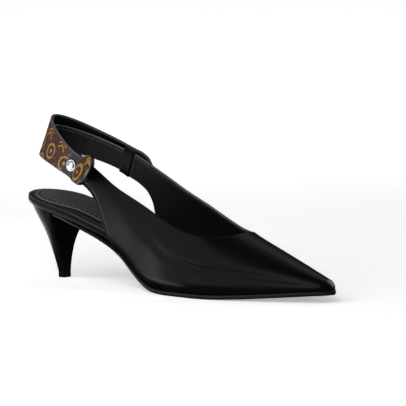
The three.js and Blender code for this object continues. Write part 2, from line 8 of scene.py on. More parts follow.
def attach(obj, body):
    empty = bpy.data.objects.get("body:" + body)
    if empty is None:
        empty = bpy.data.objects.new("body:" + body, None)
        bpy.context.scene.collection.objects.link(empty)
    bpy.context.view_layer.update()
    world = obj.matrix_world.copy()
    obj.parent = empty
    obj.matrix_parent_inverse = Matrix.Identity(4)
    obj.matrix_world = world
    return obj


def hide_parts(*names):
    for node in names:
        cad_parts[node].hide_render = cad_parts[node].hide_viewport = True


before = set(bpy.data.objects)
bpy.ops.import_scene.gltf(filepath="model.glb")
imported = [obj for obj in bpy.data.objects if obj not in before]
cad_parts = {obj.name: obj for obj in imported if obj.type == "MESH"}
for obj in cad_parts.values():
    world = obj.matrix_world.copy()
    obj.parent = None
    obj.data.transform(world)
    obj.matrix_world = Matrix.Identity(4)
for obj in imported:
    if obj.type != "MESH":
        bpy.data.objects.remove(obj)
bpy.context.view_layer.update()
print("frame loaded:", len(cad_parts), "nodes")

# Sizes are in millimetres, as in the part's source, and meshes are made in metres.
mm = 0.001
shoe = {
    "length": 256.2,
    "heelSetback": 24.3,
    "ballWidth": 70.5,
    "seatWidth": 53,
    "seatRound": 25.5,
    "heelHeight": 55,
    "toeSpring": 5.4,
    "instepHeight": 43.4,
    "slingHeight": 88,
    "slingFoot": 76,
    "toeRound": 6.5,
    "toeNose": 5,
    "soleThickness": 3,
    "insoleThickness": 5,
    "wall": 1.8,
    "gap": 0.3,
}


def mix(a, b, t):
    return a + (b - a) * t


def smooth(t):
    t = np.clip(t, 0, 1)
    return t * t * (3 - 2 * t)


def unit(v):
    return v / np.maximum(np.linalg.norm(v, axis=-1, keepdims=True), 1e-12)


def rowsOf(names, *rows):
    return [dict(zip(names, row)) for row in rows]


# One column of a table as a smooth function of another. soften is the width, in the first
# column's units, of a blur that takes out the bends in curvature at the rows.
def column(rows, by, name, soften=0.0):
    xs = np.array([row[by] for row in rows], float)
    ys = np.array([row[name] for row in rows], float)
    secant = np.diff(ys) / np.diff(xs)
    before = np.concatenate([secant[:1], secant])
    after = np.concatenate([secant, secant[-1:]])
    product = before * after
    slope = np.where(product <= 0, 0, 2 * product / np.where(product <= 0, 1, before + after))
    fine = np.linspace(xs[0], xs[-1], 1601)
    i = np.clip(np.searchsorted(xs, fine, side="right") - 1, 0, len(xs) - 2)
    step = xs[i + 1] - xs[i]
    t = (fine - xs[i]) / step
    curve = slope[i] * (1 - t) - slope[i + 1] * t
    values = mix(ys[i], ys[i + 1], t * t * (3 - 2 * t)) + step * t * (1 - t) * curve
    if soften:
        pitch = fine[1] - fine[0]
        reach = int(3 * soften / pitch)
        kernel = np.exp(-0.5 * (np.arange(-reach, reach + 1) * pitch / soften) ** 2)
        start = 2 * values[0] - values[reach:0:-1]
        stop = 2 * values[-1] - values[-2 : -reach - 2 : -1]
        values = np.convolve(np.concatenate([start, values, stop]), kernel / kernel.sum(), "valid")
    return lambda x: np.interp(x, fine, values)


def columns(rows, by, soften):
    return {name: column(rows, by, name, soften) for name in rows[0]}


def toX(at):
    return at * shoe["length"] - shoe["heelSetback"]


def toAt(x):
    return (x + shoe["heelSetback"]) / shoe["length"]


# The upper's sections along the shoe, from the back of the seat at 0 to the toe tip at 1.
lastRows = rowsOf(
    ["at", "seat", "lateral", "medial", "swell", "ridge", "instep", "sling"],
    [0, 1, 0.5, 0.5, 0.09, 0, 0, 1.86],
    [0.112, 1, 0.5, 0.5, 0.1, 0, 0, 1.75],
    [0.23, 1, 0.495, 0.475, 0.11, 0, 0, 1.6],
    [0.346, 0.8, 0.458, 0.405, 0.105, 0, 0.1, 1.24],
    [0.463, 0.4, 0.45, 0.4, 0.087, 0.028, 0.4, 0.74],
    [0.561, 0, 0.475, 0.461, 0.068, 0.04, 0.7, 0.425],
    [0.642, 0, 0.489, 0.511, 0.052, 0.055, 0.9, 0.18],
    [0.725, 0, 0.433, 0.46, 0.032, 0.057, 1, 0],
    [0.815, 0, 0.323, 0.38, 0.024, 0.08, 0.77, 0],
    [0.912, 0, 0.165, 0.28, 0.018, 0.09, 0.53, 0],
    [0.967, 0, 0.054, 0.215, 0.014, 0.09, 0.395, 0],
    [1, 0, 0, 0.18, 0.009, 0.09, 0.32, 0],
)
for row in lastRows:
    row["girth"] = mix(shoe["ballWidth"], shoe["seatWidth"], row["seat"])
    row["crown"] = shoe["instepHeight"] * row["instep"] + shoe["slingHeight"] * row["sling"]
    row["halfLateral"] = row["girth"] * row["lateral"]
    row["halfMedial"] = row["girth"] * row["medial"]
last = columns(lastRows, "at", soften=0.016)
halfLateral, halfMedial = last["halfLateral"], last["halfMedial"]

# The sole's underside, the stock of the sole and the depth of the board on it.
profileRows = rowsOf(
    ["at", "rise", "spring", "stock", "bed"],
    [0, 0.993, 0, 0.75, 1],
    [0.112, 0.88, 0, 0.75, 1],
    [0.213, 0.752, 0, 0.75, 1],
    [0.29, 0.626, 0, 0.75, 0.95],
    [0.346, 0.505, 0, 0.75, 0.85],
    [0.382, 0.392, 0, 0.8, 0.75],
    [0.423, 0.222, 0, 0.85, 0.65],
    [0.459, 0.092, 0, 0.95, 0.55],
    [0.489, 0.026, 0, 1, 0.5],
    [0.525, 0.003, 0, 1, 0.5],
    [0.55, 0, 0, 1, 0.5],
    [0.683, 0, 0, 1, 0.5],
    [0.76, 0, 0.17, 1, 0.45],
    [0.866, 0, 0.55, 1, 0.4],
    [0.957, 0, 0.88, 1, 0.4],
    [1, 0, 1, 1, 0.4],
)
profile = columns(profileRows, "at", soften=0.006)


def under(at):
    return shoe["heelHeight"] * profile["rise"](at) + shoe["toeSpring"] * profile["spring"](at)


def soleTop(at):
    return under(at) + shoe["soleThickness"] * profile["stock"](at)


def feather(at):
    return soleTop(at) + shoe["gap"]


def insoleTop(at):
    return feather(at) + shoe["insoleThickness"] * profile["bed"](at)


def tipShare(at, length):
    return np.sqrt(np.maximum(0, 1 - np.clip((toX(at) - toX(1) + length) / length, 0, 1) ** 2))


def middle(at):
    return (halfMedial(at) - halfLateral(at)) / 2


def halfSpan(at):
    return (halfMedial(at) + halfLateral(at)) / 2


def halfWidth(at):
    behind = np.clip((shoe["seatRound"] - at * shoe["length"]) / shoe["seatRound"], 0, 1)
    return halfSpan(at) * tipShare(at, shoe["toeRound"]) * np.sqrt(np.maximum(0, 1 - behind**2))


# A point on the outside of the upper, at a share of the section's height from the lower edge.
def skin(at, height, side):
    height = np.clip(height, 0, 1)
    across = np.sqrt(1 - height**2)
    tip = tipShare(at, shoe["toeRound"])
    ridge = mix(middle(at), last["girth"](at) * last["ridge"](at), tip)
    edge = middle(at) + side * halfWidth(at)
    swell = last["girth"](at) * last["swell"](at) * tip
    return np.stack(
        [
            toX(at) + 0 * height,
            ridge + (edge - ridge) * across + side * swell * 2 * height * across,
            feather(at) + (last["crown"](at) - feather(at)) * tipShare(at, shoe["toeNose"]) * height,
        ],
        -1,
    )


def heightOf(at, z):
    return np.clip((z - feather(at)) / (last["crown"](at) - feather(at)), 0, 1)


# The topline and the quarter's rear edge: place along the shoe and share of the height.
toplineRows = rowsOf(
    ["step", "lateralAt", "lateral", "medialAt", "medial"],
    [0, 0.725, 0, 0.725, 0],
    [0.07, 0.717, -0.019, 0.717, -0.019],
    [0.15, 0.69, -0.044, 0.69, -0.058],
    [0.24, 0.646, -0.034, 0.646, -0.032],
    [0.33, 0.591, 0.032, 0.591, 0.116],
    [0.46, 0.518, 0.2, 0.518, 0.37],
    [0.61, 0.438, 0.422, 0.438, 0.607],
    [0.77, 0.357, 0.65, 0.36, 0.812],
    [0.88, 0.31, 0.83, 0.318, 0.93],
    [1, 0.2635, 1, 0.2799, 1.016],
)
rearEdgeRows = rowsOf(
    ["step", "lateralAt", "lateral", "medialAt", "medial"],
    [0, 0.35, 0, 0.375, 0],
    [0.15, 0.331, 0.197, 0.364, 0.197],
    [0.32, 0.318, 0.384, 0.354, 0.383],
    [0.5, 0.305, 0.581, 0.344, 0.58],
    [0.66, 0.289, 0.764, 0.322, 0.761],
    [0.8, 0.263, 0.894, 0.29, 0.87],
    [0.9, 0.243, 0.955, 0.272, 0.91],
    [1, 0.2248, 1, 0.2568, 0.94],
)
topline = columns(toplineRows, "step", soften=0.02)
rearEdge = columns(rearEdgeRows, "step", soften=0.02)


def sideOf(side):
    return "lateral" if side < 0 else "medial"


def toplineAt(step, side):
    at = topline[sideOf(side) + "At"](step)
    height = heightOf(at, mix(shoe["instepHeight"], shoe["slingHeight"], topline[sideOf(side)](step)))
    return at, np.where(step <= 0, 1, height)


def rearEdgeAt(step, side):
    at = rearEdge[sideOf(side) + "At"](step)
    base = feather(rearEdgeRows[0][sideOf(side) + "At"])
    height = heightOf(at, mix(base, shoe["slingFoot"], rearEdge[sideOf(side)](step)))
    return at, np.where(step <= 0, 0, height)


finishes = {}  # every material by its name


# One small class turns expressions on sockets into nodes.
class Field:
    def __init__(self, finish, socket):
        self.finish = finish
        self.socket = socket

    def maths(self, operation, *values):
        settings = {"operation": operation}
        return self.finish.add("ShaderNodeMath", settings, dict(enumerate(values)))

    def __add__(self, other):
        return self.maths("ADD", self, other)

    def __radd__(self, other):
        return self.maths("ADD", other, self)

    def __sub__(self, other):
        return self.maths("SUBTRACT", self, other)

    def __rsub__(self, other):
        return self.maths("SUBTRACT", other, self)

    def __mul__(self, other):
        return self.maths("MULTIPLY", self, other)

    def __rmul__(self, other):
        return self.maths("MULTIPLY", other, self)

    def __pow__(self, other):
        return self.maths("POWER", self, other)

    def __abs__(self):
        return self.maths("ABSOLUTE", self)

    def max(self, other):
        return self.maths("MAXIMUM", self, other)

    def ramp(self, low, high, start=0.0, stop=1.0):
        settings = {"interpolation_type": "SMOOTHSTEP"}
        values = {"Value": self, "From Min": low, "From Max": high, "To Min": start, "To Max": stop}
        return self.finish.add("ShaderNodeMapRange", settings, values)

    def wrap(self, length):
        return self.maths("WRAP", self, length / 2, -length / 2)

    def repeat(self, length):
        return self.maths("PINGPONG", self, length / 2) * (2 / length)


class Finish:
    def __init__(self, name, shader):
        self.material = finishes[name] = bpy.data.materials.new(name)
        self.material.use_nodes = True
        self.tree = self.material.node_tree
        self.shader = self.tree.nodes["Principled BSDF"]
        for socket, value in shader.items():
            self.set(socket, value)

    def add(self, kind, settings=None, values=None, output=0):
        node = self.tree.nodes.new(kind)
        for name, value in (settings or {}).items():
            setattr(node, name, value)
        for name, value in (values or {}).items():
            self.put(node.inputs[name], value)
        return Field(self, node.outputs[output])

    def put(self, socket, value):
        if isinstance(value, Field):
            self.tree.links.new(value.socket, socket)
        elif socket.type == "RGBA":
            socket.default_value = (*value, 1)
        else:
            socket.default_value = value

    def set(self, name, value):
        self.put(self.shader.inputs[name], value)

    def place(self):
        return self.add("ShaderNodeTexCoord", output="Object")

    def noise(self, scale, detail=3.0):
        values = {"Vector": self.place(), "Scale": scale, "Detail": detail, "Roughness": 0.55}
        return self.add("ShaderNodeTexNoise", {}, values)

    def cells(self, scale):
        return self.add("ShaderNodeTexVoronoi", {}, {"Vector": self.place(), "Scale": scale})

    def attribute(self, name):
        return self.add("ShaderNodeAttribute", {"attribute_name": name}, output="Fac")

    # Inputs 6 and 7 and output 2 of a Mix node are its colours.
    def blend(self, factor, a, b):
        return self.add("ShaderNodeMix", {"data_type": "RGBA"}, {0: factor, 6: a, 7: b}, 2)

    # A line along an edge, seen in the attribute inset, which is in millimetres.
    def edgeLine(self, inset, low, high):
        return abs(self.attribute("inset") - inset).ramp(low, high, 1, 0)

    def stitches(self, inset, pitch, width):
        row = self.edgeLine(inset, width * 0.4, width * 0.7)
        return row * self.attribute("along").repeat(pitch).ramp(0.3, 0.5)

    def bump(self, height, depth, strength=1.0):
        values = {"Height": height, "Distance": depth * mm, "Strength": strength}
        self.set("Normal", self.add("ShaderNodeBump", {}, values))


# Leathers, edge paints and rubber: the greys of fresh and worn places, the share by which their
# blue is higher, the gloss, and the grain's fineness and its depth in millimetres.
leatherLooks = rowsOf(
    ["name", "shade", "worn", "blue", "roughness", "specular", "grain", "depth"],
    ["blackLeather", 0.0018, 0.0026, 1.05, 0.3, 0.055, 2600, 0.03],
    ["stitchedLeather", 0.0018, 0.0026, 1.05, 0.3, 0.055, 2600, 0.03],
    ["heelLeather", 0.0018, 0.0026, 1.05, 0.3, 0.023, 2600, 0.03],
    ["keeperLeather", 0.0018, 0.0026, 1.05, 0.3, 0.032, 2600, 0.03],
    ["breastLeather", 0.0018, 0.0026, 1.05, 0.4, 0.012, 2600, 0.03],
    ["endLeather", 0.012, 0.017, 1, 0.45, 0.16, 2600, 0.03],
    ["liningLeather", 0.0038, 0.0052, 1.02, 0.5, 0.05, 1800, 0.05],
    ["stitchedLining", 0.0038, 0.0052, 1.02, 0.5, 0.05, 1800, 0.05],
    # The band's lining is darker than the other lining: painted shade for the shadowed gap between band
    # and sling.
    ["bandLining", 0.0015, 0.002, 1, 0.5, 0.02, 1800, 0.05],
    ["lightEdge", 0.06, 0.09, 1.033, 0.4, 0.3, 900, 0.03],
    ["greyEdge", 0.03, 0.05, 1.025, 0.45, 0.2, 900, 0.04],
    ["edgePaint", 0.003, 0.004, 1, 0.42, 0.05, 900, 0.04],
    ["soleEdge", 0.007, 0.01, 1, 0.42, 0.12, 900, 0.04],
    ["soleLeather", 0.003, 0.005, 1, 0.42, 0.08, 1200, 0.04],
    ["tipRubber", 0.0015, 0.002, 1, 0.55, 0.03, 1400, 0.05],
)
stitchLooks = {
    "stitchedLeather": {"inset": 1.5, "pitch": 2.4, "width": 0.45, "tone": 0.006},
    "stitchedLining": {"inset": 1.7, "pitch": 2.4, "width": 0.8, "tone": 0.04},
}


def leatherFinish(look):
    gloss = {"Roughness": look["roughness"], "Specular IOR Level": look["specular"]}
    finish = Finish(look["name"], gloss)
    broad = finish.noise(18).ramp(0.3, 0.7)
    shade, worn = ((grey, grey, grey * look["blue"]) for grey in (look["shade"], look["worn"]))
    colour = finish.blend(broad, shade, worn)
    if look["name"] in stitchLooks:
        stitch = stitchLooks[look["name"]]
        row = finish.stitches(stitch["inset"], stitch["pitch"], stitch["width"])
        colour = finish.blend(row, colour, (stitch["tone"],) * 3)
    finish.set("Base Color", colour)
    fine = finish.noise(look["grain"], 2)
    pores = finish.cells(look["grain"] * 0.5).ramp(0.0, 0.35)
    finish.set("Roughness", look["roughness"] + (broad - 0.5) * 0.05 + (fine - 0.5) * 0.04)
    finish.bump(fine * 0.6 + pores * 0.4, look["depth"], 0.6)


for look in leatherLooks:
    leatherFinish(look)

canvasLook = {
    "ground": (0.026, 0.0085, 0.005),
    "light": (0.11, 0.055, 0.042),
    "gold": (0.2, 0.12, 0.026),
    "roughness": 0.5,
    "pebble": 900,
    "specks": 700,
    "wear": 420,
    "pitch": 19,
    "line": 1.0,
    "ring": 4.9,
    "dot": 1.0,
    "chevronSlope": 0.75,
    "chevronRows": (3.4, 0.2),
    "chevronReach": 4.0,
}


# Coated canvas: brown pebbled ground with offset rows of plain gold rings and chevrons. The
# attributes along and up are in millimetres over the piece.
def canvasFinish(name, shift, look):
    finish = Finish(name, {"Roughness": look["roughness"], "Specular IOR Level": 0.2})
    pitch, width = look["pitch"], look["line"]
    along, up = finish.attribute("along") + shift[0], finish.attribute("up") + shift[1]

    def line(distance):
        return abs(distance).ramp(width * 0.4, width * 0.75, 1, 0)

    u, v = along.wrap(pitch), up.wrap(pitch)
    radius = (u * u + v * v) ** 0.5
    rings = line(radius - look["ring"]).max(radius.ramp(look["dot"], look["dot"] + 0.5, 1, 0))
    u, v = (along + pitch / 2).wrap(pitch), (up + pitch / 2).wrap(pitch)
    rise = v + abs(u) * look["chevronSlope"]
    upper, lower = (line(rise - row) for row in look["chevronRows"])
    reach = abs(u).ramp(look["chevronReach"], look["chevronReach"] + 0.4, 1, 0)
    motif = rings.max(upper.max(lower) * reach)
    pebble = finish.cells(look["pebble"]).ramp(0.05, 0.6)
    specks = finish.noise(look["specks"], 2).ramp(0.56, 0.68)
    ground = finish.blend(specks * (0.5 + pebble * 0.5), look["ground"], look["light"])
    worn = motif * finish.noise(look["wear"]).ramp(0.3, 0.55, 0.45, 1)
    finish.set("Base Color", finish.blend(worn, ground, look["gold"]))
    finish.set("Roughness", look["roughness"] + (pebble - 0.5) * 0.2)
    finish.bump(pebble * 0.8 + motif * 0.15, 0.1, 0.8)


canvasFinish("bandCanvas", (-1.0, 2.0), canvasLook)
canvasFinish("discCanvas", (4.5, 3.0), {**canvasLook, "line": 1.9, "ring": 5.6})

metal = Finish("polishedMetal", {"Base Color": (0.4, 0.4, 0.41), "Metallic": 1.0})
metal.set("Roughness", 0.28 + metal.noise(400) * 0.1)
metal.bump(metal.noise(900, 2), 0.02, 0.4)
print("materials made")


# Whether a closed body's faces point inward, from the sign of its volume.
def facesInward(points, faces):
    volume = 0
    for count in (3, 4):
        some = np.array([f for f in faces if len(f) == count], int).reshape(-1, count)
        for k in range(1, count - 1):
            a, b, c = points[some[:, 0]], points[some[:, k]], points[some[:, k + 1]]
            volume += np.einsum("ij,ij->", a, np.cross(b, c))
    return volume < 0


# A mesh in metres, with its materials by name and values at its points.
def addMesh(name, points, faces, materials, values):
    mesh = bpy.data.meshes.new(name)
    mesh.from_pydata(points.tolist(), [], [list(map(int, f)) for f in faces])
    mesh.update()
    for label in materials:
        mesh.materials.append(finishes[label])
    mesh.polygons.foreach_set("use_smooth", [True] * len(mesh.polygons))
    for label, numbers in values.items():
        attribute = mesh.attributes.new(label, "FLOAT", "POINT")
        attribute.data.foreach_set("value", np.asarray(numbers, np.float32))
    piece = bpy.data.objects.new(name, mesh)
    bpy.context.scene.collection.objects.link(piece)
    return piece


# A piece of the shoe. Its points are in millimetres, and numbers are its faces' materials.
def makePiece(name, points, faces, materials, nodes, numbers=None, values=None):
    points = np.asarray(points, float)
    if facesInward(points, faces):
        faces = [list(f)[::-1] for f in faces]
    piece = addMesh(name, points * mm, faces, materials, values or {})
    if numbers is not None:
        piece.data.polygons.foreach_set("material_index", np.asarray(numbers, np.int32))
    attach(piece, "root")
    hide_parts(*nodes)


def gridFaces(rows, across, wrap=False):
    i, j = np.meshgrid(np.arange(rows - 1), np.arange(across if wrap else across - 1), indexing="ij")
    here = i * across + j
    right = i * across + (j + 1) % across
    return np.stack([here, here + across, right + across, right], -1).reshape(-1, 4)


# The faces of a tube of rings with both ends closed.
def tubeFaces(rows, around):
    ring = list(range(around))
    final = [v + (rows - 1) * around for v in reversed(ring)]
    return [*gridFaces(rows, around, wrap=True).tolist(), ring, final]


def vertexNormals(points, faces):
    a, b, c, d = (points[faces[:, k]] for k in range(4))
    flat = np.cross(c - a, d - b)
    total = np.zeros_like(points)
    for k in range(4):
        np.add.at(total, faces[:, k], flat)
    return unit(total)


# Welds points that coincide and drops the faces that this closes up to a line.
def weld(points, faces):
    keys = np.round(points * 10000).astype(np.int64)
    _, first, back = np.unique(keys, axis=0, return_index=True, return_inverse=True)
    faces = back.reshape(-1)[faces]
    return points[first], np.array([f for f in faces if len(set(f)) >= 3]), first


# A leather sheet: its face, its back a wall behind it, and a rounded edge between them. The
# edge's strips, from face to back, have the materials of lipNumbers.
def sheet(points, faces, wall, lipNumbers, bulge=None, shape=None):
    points, quads, first = weld(points, faces)
    normals = vertexNormals(points, quads)
    if shape:
        points = points + normals * shape(points)[:, None]
        normals = vertexNormals(points, quads)
    count, lips = len(points), len(lipNumbers)
    rings = [[int(v) for k, v in enumerate(f) if v != f[k - 1]] for f in quads]
    border = {}
    for ring in rings:
        for p, q in zip(ring, ring[1:] + ring[:1]):
            if (q, p) in border:
                del border[(q, p)]
            else:
                border[(p, q)] = True
    outward = np.zeros_like(points)
    for p, q in border:
        side = np.cross(points[q] - points[p], normals[p] + normals[q])
        outward[p] += side
        outward[q] += side
    outward = unit(outward)
    push = bulge(points) if bulge else np.ones(count)
    turn = np.linspace(0, np.pi, lips + 1)[1:-1, None]
    allPoints = [points, points - normals * wall]
    ids = {}
    for v in sorted({v for edge in border for v in edge}):
        start = 2 * count + len(ids) * (lips - 1)
        ids[v] = [v, *range(start, start + lips - 1), v + count]
        centre = points[v] - normals[v] * wall / 2
        away = np.cos(turn) * normals[v] + np.sin(turn) * outward[v] * push[v]
        allPoints.append(centre + wall / 2 * away)
    outFaces, numbers = [], []
    for ring in rings:
        outFaces += [ring, [v + count for v in reversed(ring)]]
        numbers += [0, 1]
    for p, q in border:
        for k, number in enumerate(lipNumbers):
            outFaces.append([ids[q][k], ids[p][k], ids[p][k + 1], ids[q][k + 1]])
            numbers.append(number)
    return np.concatenate(allPoints), outFaces, numbers, first


# Values at a sheet's face, given to its back too. The edge between them has none.
def sheetValues(points, **values):
    spare = np.zeros(len(points) - 2 * len(next(iter(values.values()))))
    return {name: np.concatenate([row, row, spare]) for name, row in values.items()}


# The upper: both sides of a fine grid that meet on the ridge.
upperGrid = {"nose": 14, "vamp": 90, "quarter": 170, "rows": 54}
waistShare = {-1: 15 / 24, 1: 14 / 24}  # part of the topline's steps that stands over the sole
throat = toplineRows[0]["lateralAt"]


def upperColumns(side):
    bend = np.linspace(0, np.pi / 2, upperGrid["nose"], endpoint=False)
    noseAt = toAt(toX(1) - shoe["toeRound"] * (1 - np.cos(bend)))
    vampStart = toAt(toX(1) - shoe["toeRound"])
    vampAt = np.linspace(vampStart, throat, upperGrid["vamp"], endpoint=False)
    at = np.concatenate([noseAt, vampAt])
    steps = np.linspace(0, 1, upperGrid["quarter"] + 1)
    waist = waistShare[side]
    corner = rearEdgeRows[0][sideOf(side) + "At"]
    footAt, footHeight = rearEdgeAt((steps - waist) / (1 - waist), side)
    footAt = np.where(steps <= waist, mix(throat, corner, steps / waist), footAt)
    footHeight = np.where(steps <= waist, 0, footHeight)
    headAt, headHeight = toplineAt(steps, side)
    return (
        np.concatenate([at, footAt]),
        np.concatenate([0 * at, footHeight]),
        np.concatenate([at, headAt]),
        np.concatenate([0 * at + 1, headHeight]),
    )


def upperGridPoints(side):
    footAt, footHeight, headAt, headHeight = upperColumns(side)
    share = np.linspace(0, 1, upperGrid["rows"] + 1)
    at = mix(footAt[:, None], headAt[:, None], share)
    arc = mix(np.arcsin(footHeight)[:, None], np.arcsin(headHeight)[:, None], share)
    height = np.where(arc > np.pi / 2 - 1e-6, 1, np.sin(arc))
    return skin(at, height, side)


upperPoints, upperFaces = [], []
for side in (-1, 1):
    grid = upperGridPoints(side)
    upperFaces.append(gridFaces(*grid.shape[:2])[:, ::side] + sum(map(len, upperPoints)))
    upperPoints.append(grid.reshape(-1, 3))


# The edge is flat where it stands on the sole and round elsewhere.
def lipBulge(points):
    return np.where(np.abs(points[:, 2] - feather(toAt(points[:, 0]))) < 0.2, 0.2, 1.0)


# Distance of each point from a line of places, and how far along it the nearest place is.
def distanceAlong(points, line):
    start, step = line[:-1], np.diff(line, axis=0)
    length = np.linalg.norm(step, axis=1)
    before = np.concatenate([[0], np.cumsum(length)[:-1]])
    share = np.clip(((points[:, None] - start) * step).sum(-1) / length**2, 0, 1)
    away = np.linalg.norm(points[:, None] - start - share[..., None] * step, axis=-1)
    near = away.argmin(axis=1)
    rows = np.arange(len(points))
    return away[rows, near], before[near] + share[rows, near] * length[near]


# Soft troughs and ridges of the leather on the lateral side. A line of places (x, z) with the
# depth and the width of the fold there; negative depths go inward.
creases = [
    [
        (84, 51, 0, 3.6), (98, 42, -0.3, 3.6), (109, 34.2, -0.5, 3.1), (116, 29, -0.65, 2.7),
        (125, 25.5, -0.9, 2.3), (134, 23.4, -1.1, 2.1), (148, 20.5, -1.1, 2),
        (166, 19.3, -1.1, 1.9), (182, 18, -0.95, 1.8), (198, 16, -0.75, 1.7),
        (214, 13.9, -0.45, 1.6), (230, 11.5, 0, 1.6),
    ],
    [
        (80, 14, 0, 5), (98, 10, 1.0, 5), (124, 8, 1.3, 5), (150, 9, 1.1, 4.5),
        (184, 9, 0.8, 3.6), (214, 9, 0.4, 2.6), (232, 8, 0, 2),
    ],
    [
        (146, 39, 0, 4), (160, 35.5, -0.35, 4), (176, 30, -0.45, 3.4), (190, 26, -0.3, 3),
        (206, 21, 0, 2.5),
    ],
]
# A groove beside the quarter's rear edge, and a tuck above the sole from the waist to the ball.
groove = {"depth": 0.4, "inset": 1.4, "width": 0.55}
tuck = {"depth": 0.9, "height": 4, "start": 36, "rise": 16, "stop": 150, "fall": 40}


def creaseHeight(points):
    height = np.zeros(len(points))
    for crease in creases:
        fold = np.array(crease, float)
        steps = np.linspace(0, len(fold) - 1, 40 * (len(fold) - 1))
        x, z, depth, width = (np.interp(steps, np.arange(len(fold)), row) for row in fold.T)
        away = np.hypot(points[:, 0, None] - x, points[:, 2, None] - z)
        near = away.argmin(axis=1)
        height += depth[near] * np.exp(-0.5 * (away.min(axis=1) / width[near]) ** 2)
    away, _ = distanceAlong(points, skin(*rearEdgeAt(np.linspace(0, 1, 121), -1), -1))
    away = (away - groove["inset"]) / groove["width"]
    height -= groove["depth"] * np.exp(-0.5 * away**2)
    x, above = points[:, 0], points[:, 2] - feather(toAt(points[:, 0]))
    span = smooth((x - tuck["start"]) / tuck["rise"])
    span = span * (1 - smooth((x - tuck["stop"]) / tuck["fall"]))
    height -= tuck["depth"] * np.exp(-((above / tuck["height"]) ** 2)) * span
    return height * smooth(-points[:, 1] / 6)


collar = [skin(*toplineAt(np.linspace(0, 1, 171), side), side) for side in (-1, 1)]
collar = np.concatenate([collar[0][::-1], collar[1][1:]])
points, faces, numbers, first = sheet(
    np.concatenate(upperPoints),
    np.concatenate(upperFaces),
    shoe["wall"],
    [2, 2, 2, 3, 4, 3],
    lipBulge,
    creaseHeight,
)
inset, along = distanceAlong(points[: len(first)], collar)
makePiece(
    "upperLeather",
    points,
    faces,
    ["stitchedLeather", "stitchedLining", "edgePaint", "greyEdge", "lightEdge"],
    ["upper"],
    numbers,
    sheetValues(points, inset=inset, along=along),
)
print("upper made:", len(points), "points")

# The strap round the heel: the sling inside, the canvas band outside.
strap = {
    "backX": 13 - shoe["heelSetback"],
    "backZ": 90.6,
    "lean": 5.4,
    "topZ": 116,
    "rounds": (0.75, 1.45),
    "falls": (0.72, 1.12),
    "backRound": 0.08,
    "slingThickness": 1.8,
    "slingDrop": 0.27,
    "bandThickness": 2.2,
    "bandRise": 1.9,
    "canvasEnd": math.radians(78),
    "rampStart": math.radians(52),
    "keeperLength": 9.5,
    "keeperWall": 1.0,
    "keeperEase": 0.7,
    "keeperSlack": 0.3,
    "keeperFront": 0.9,
}
strap["keeperDepth"] = strap["keeperWall"] + 2 * strap["keeperSlack"]
def endOf(edge, side):
    return skin(*[np.float64(v) for v in edge(1, side)], side)


quarterEnd = {side: (endOf(rearEdgeAt, side), endOf(toplineAt, side)) for side in (-1, 1)}
quarterHeight = np.linalg.norm(quarterEnd[-1][1] - quarterEnd[-1][0])
strap["bandTop"] = 1 + strap["bandRise"] / quarterHeight


def bow(s, roundness):
    return s * ((s * s + strap["backRound"]) / (1 + strap["backRound"])) ** ((roundness - 1) / 2)


# A point on the outside of the sling, turn from -90 degrees at the lateral quarter to 90 at the
# medial one, v from the lower edge at 0 to the sling's upper edge at 1.
def slingFace(turn, v):
    turn, v = np.broadcast_arrays(np.asarray(turn, float), np.asarray(v, float))
    back = np.maximum(0, np.cos(turn))
    edges = []
    for i in (0, 1):
        end = np.where(turn[..., None] < 0, quarterEnd[-1][i], quarterEnd[1][i])
        farX = strap["backX"] + (strap["lean"] if i else 0)
        farZ = strap["topZ"] if i else strap["backZ"]
        x = mix(end[..., 0], farX, back)
        y = end[..., 1] * bow(np.abs(np.sin(turn)), strap["rounds"][i])
        z = mix(end[..., 2], farZ, back ** strap["falls"][i])
        edges.append(np.stack([x, y, z], -1))
    return mix(edges[0], edges[1], v[..., None])


def slingNormal(turn, v):
    after, before = np.minimum(turn + 0.02, np.pi / 2), np.maximum(turn - 0.02, -np.pi / 2)
    along = slingFace(after, v) - slingFace(before, v)
    up = slingFace(turn, 1) - slingFace(turn, 0)
    return unit(np.cross(up, along))


def lift(turn):
    ramp = smooth((np.abs(turn) - strap["rampStart"]) / (strap["canvasEnd"] - strap["rampStart"]))
    return mix(shoe["gap"], strap["keeperDepth"], ramp)


def bandHigh(turn):
    return mix(strap["bandTop"], 1, np.cos(turn))


# A strip from -end to end round the heel, with rounded edges, between two depths off the sling.
def strip(name, end, low, high, inside, outside, materials, lipNumbers, nodes):
    turn = np.linspace(-end, end, 161)[:, None]
    v = mix(low(turn), high(turn), np.linspace(0, 1, 17)[None, :])
    turn = np.broadcast_to(turn, v.shape)
    grid = slingFace(turn, v) + slingNormal(turn, v) * outside(turn)[..., None]
    centre = slingFace(turn, 0.5)[:, 0]
    pace = np.linalg.norm(np.diff(centre, axis=0), axis=1)
    along = np.broadcast_to(np.concatenate([[0], np.cumsum(pace)])[:, None], v.shape)
    height = np.linalg.norm(slingFace(turn, 1) - slingFace(turn, 0), axis=-1)
    wall = float((outside(turn) - inside(turn)).mean())
    faces = gridFaces(*v.shape)[:, ::-1]
    points, faces, numbers, first = sheet(grid.reshape(-1, 3), faces, wall, lipNumbers)
    values = {"along": along, "up": (v - 0.5) * height, "inset": (high(turn) - v) * height}
    values = {label: row.reshape(-1)[first] for label, row in values.items()}
    values = sheetValues(points, **values)
    makePiece(name, points, faces, materials, nodes, numbers, values)


def turnBehind(side, distance):
    end, step = side * math.pi / 2, 0.1
    pace = np.linalg.norm(slingFace(end, 0.5) - slingFace(end - side * step, 0.5)) / step
    return end - side * distance / pace


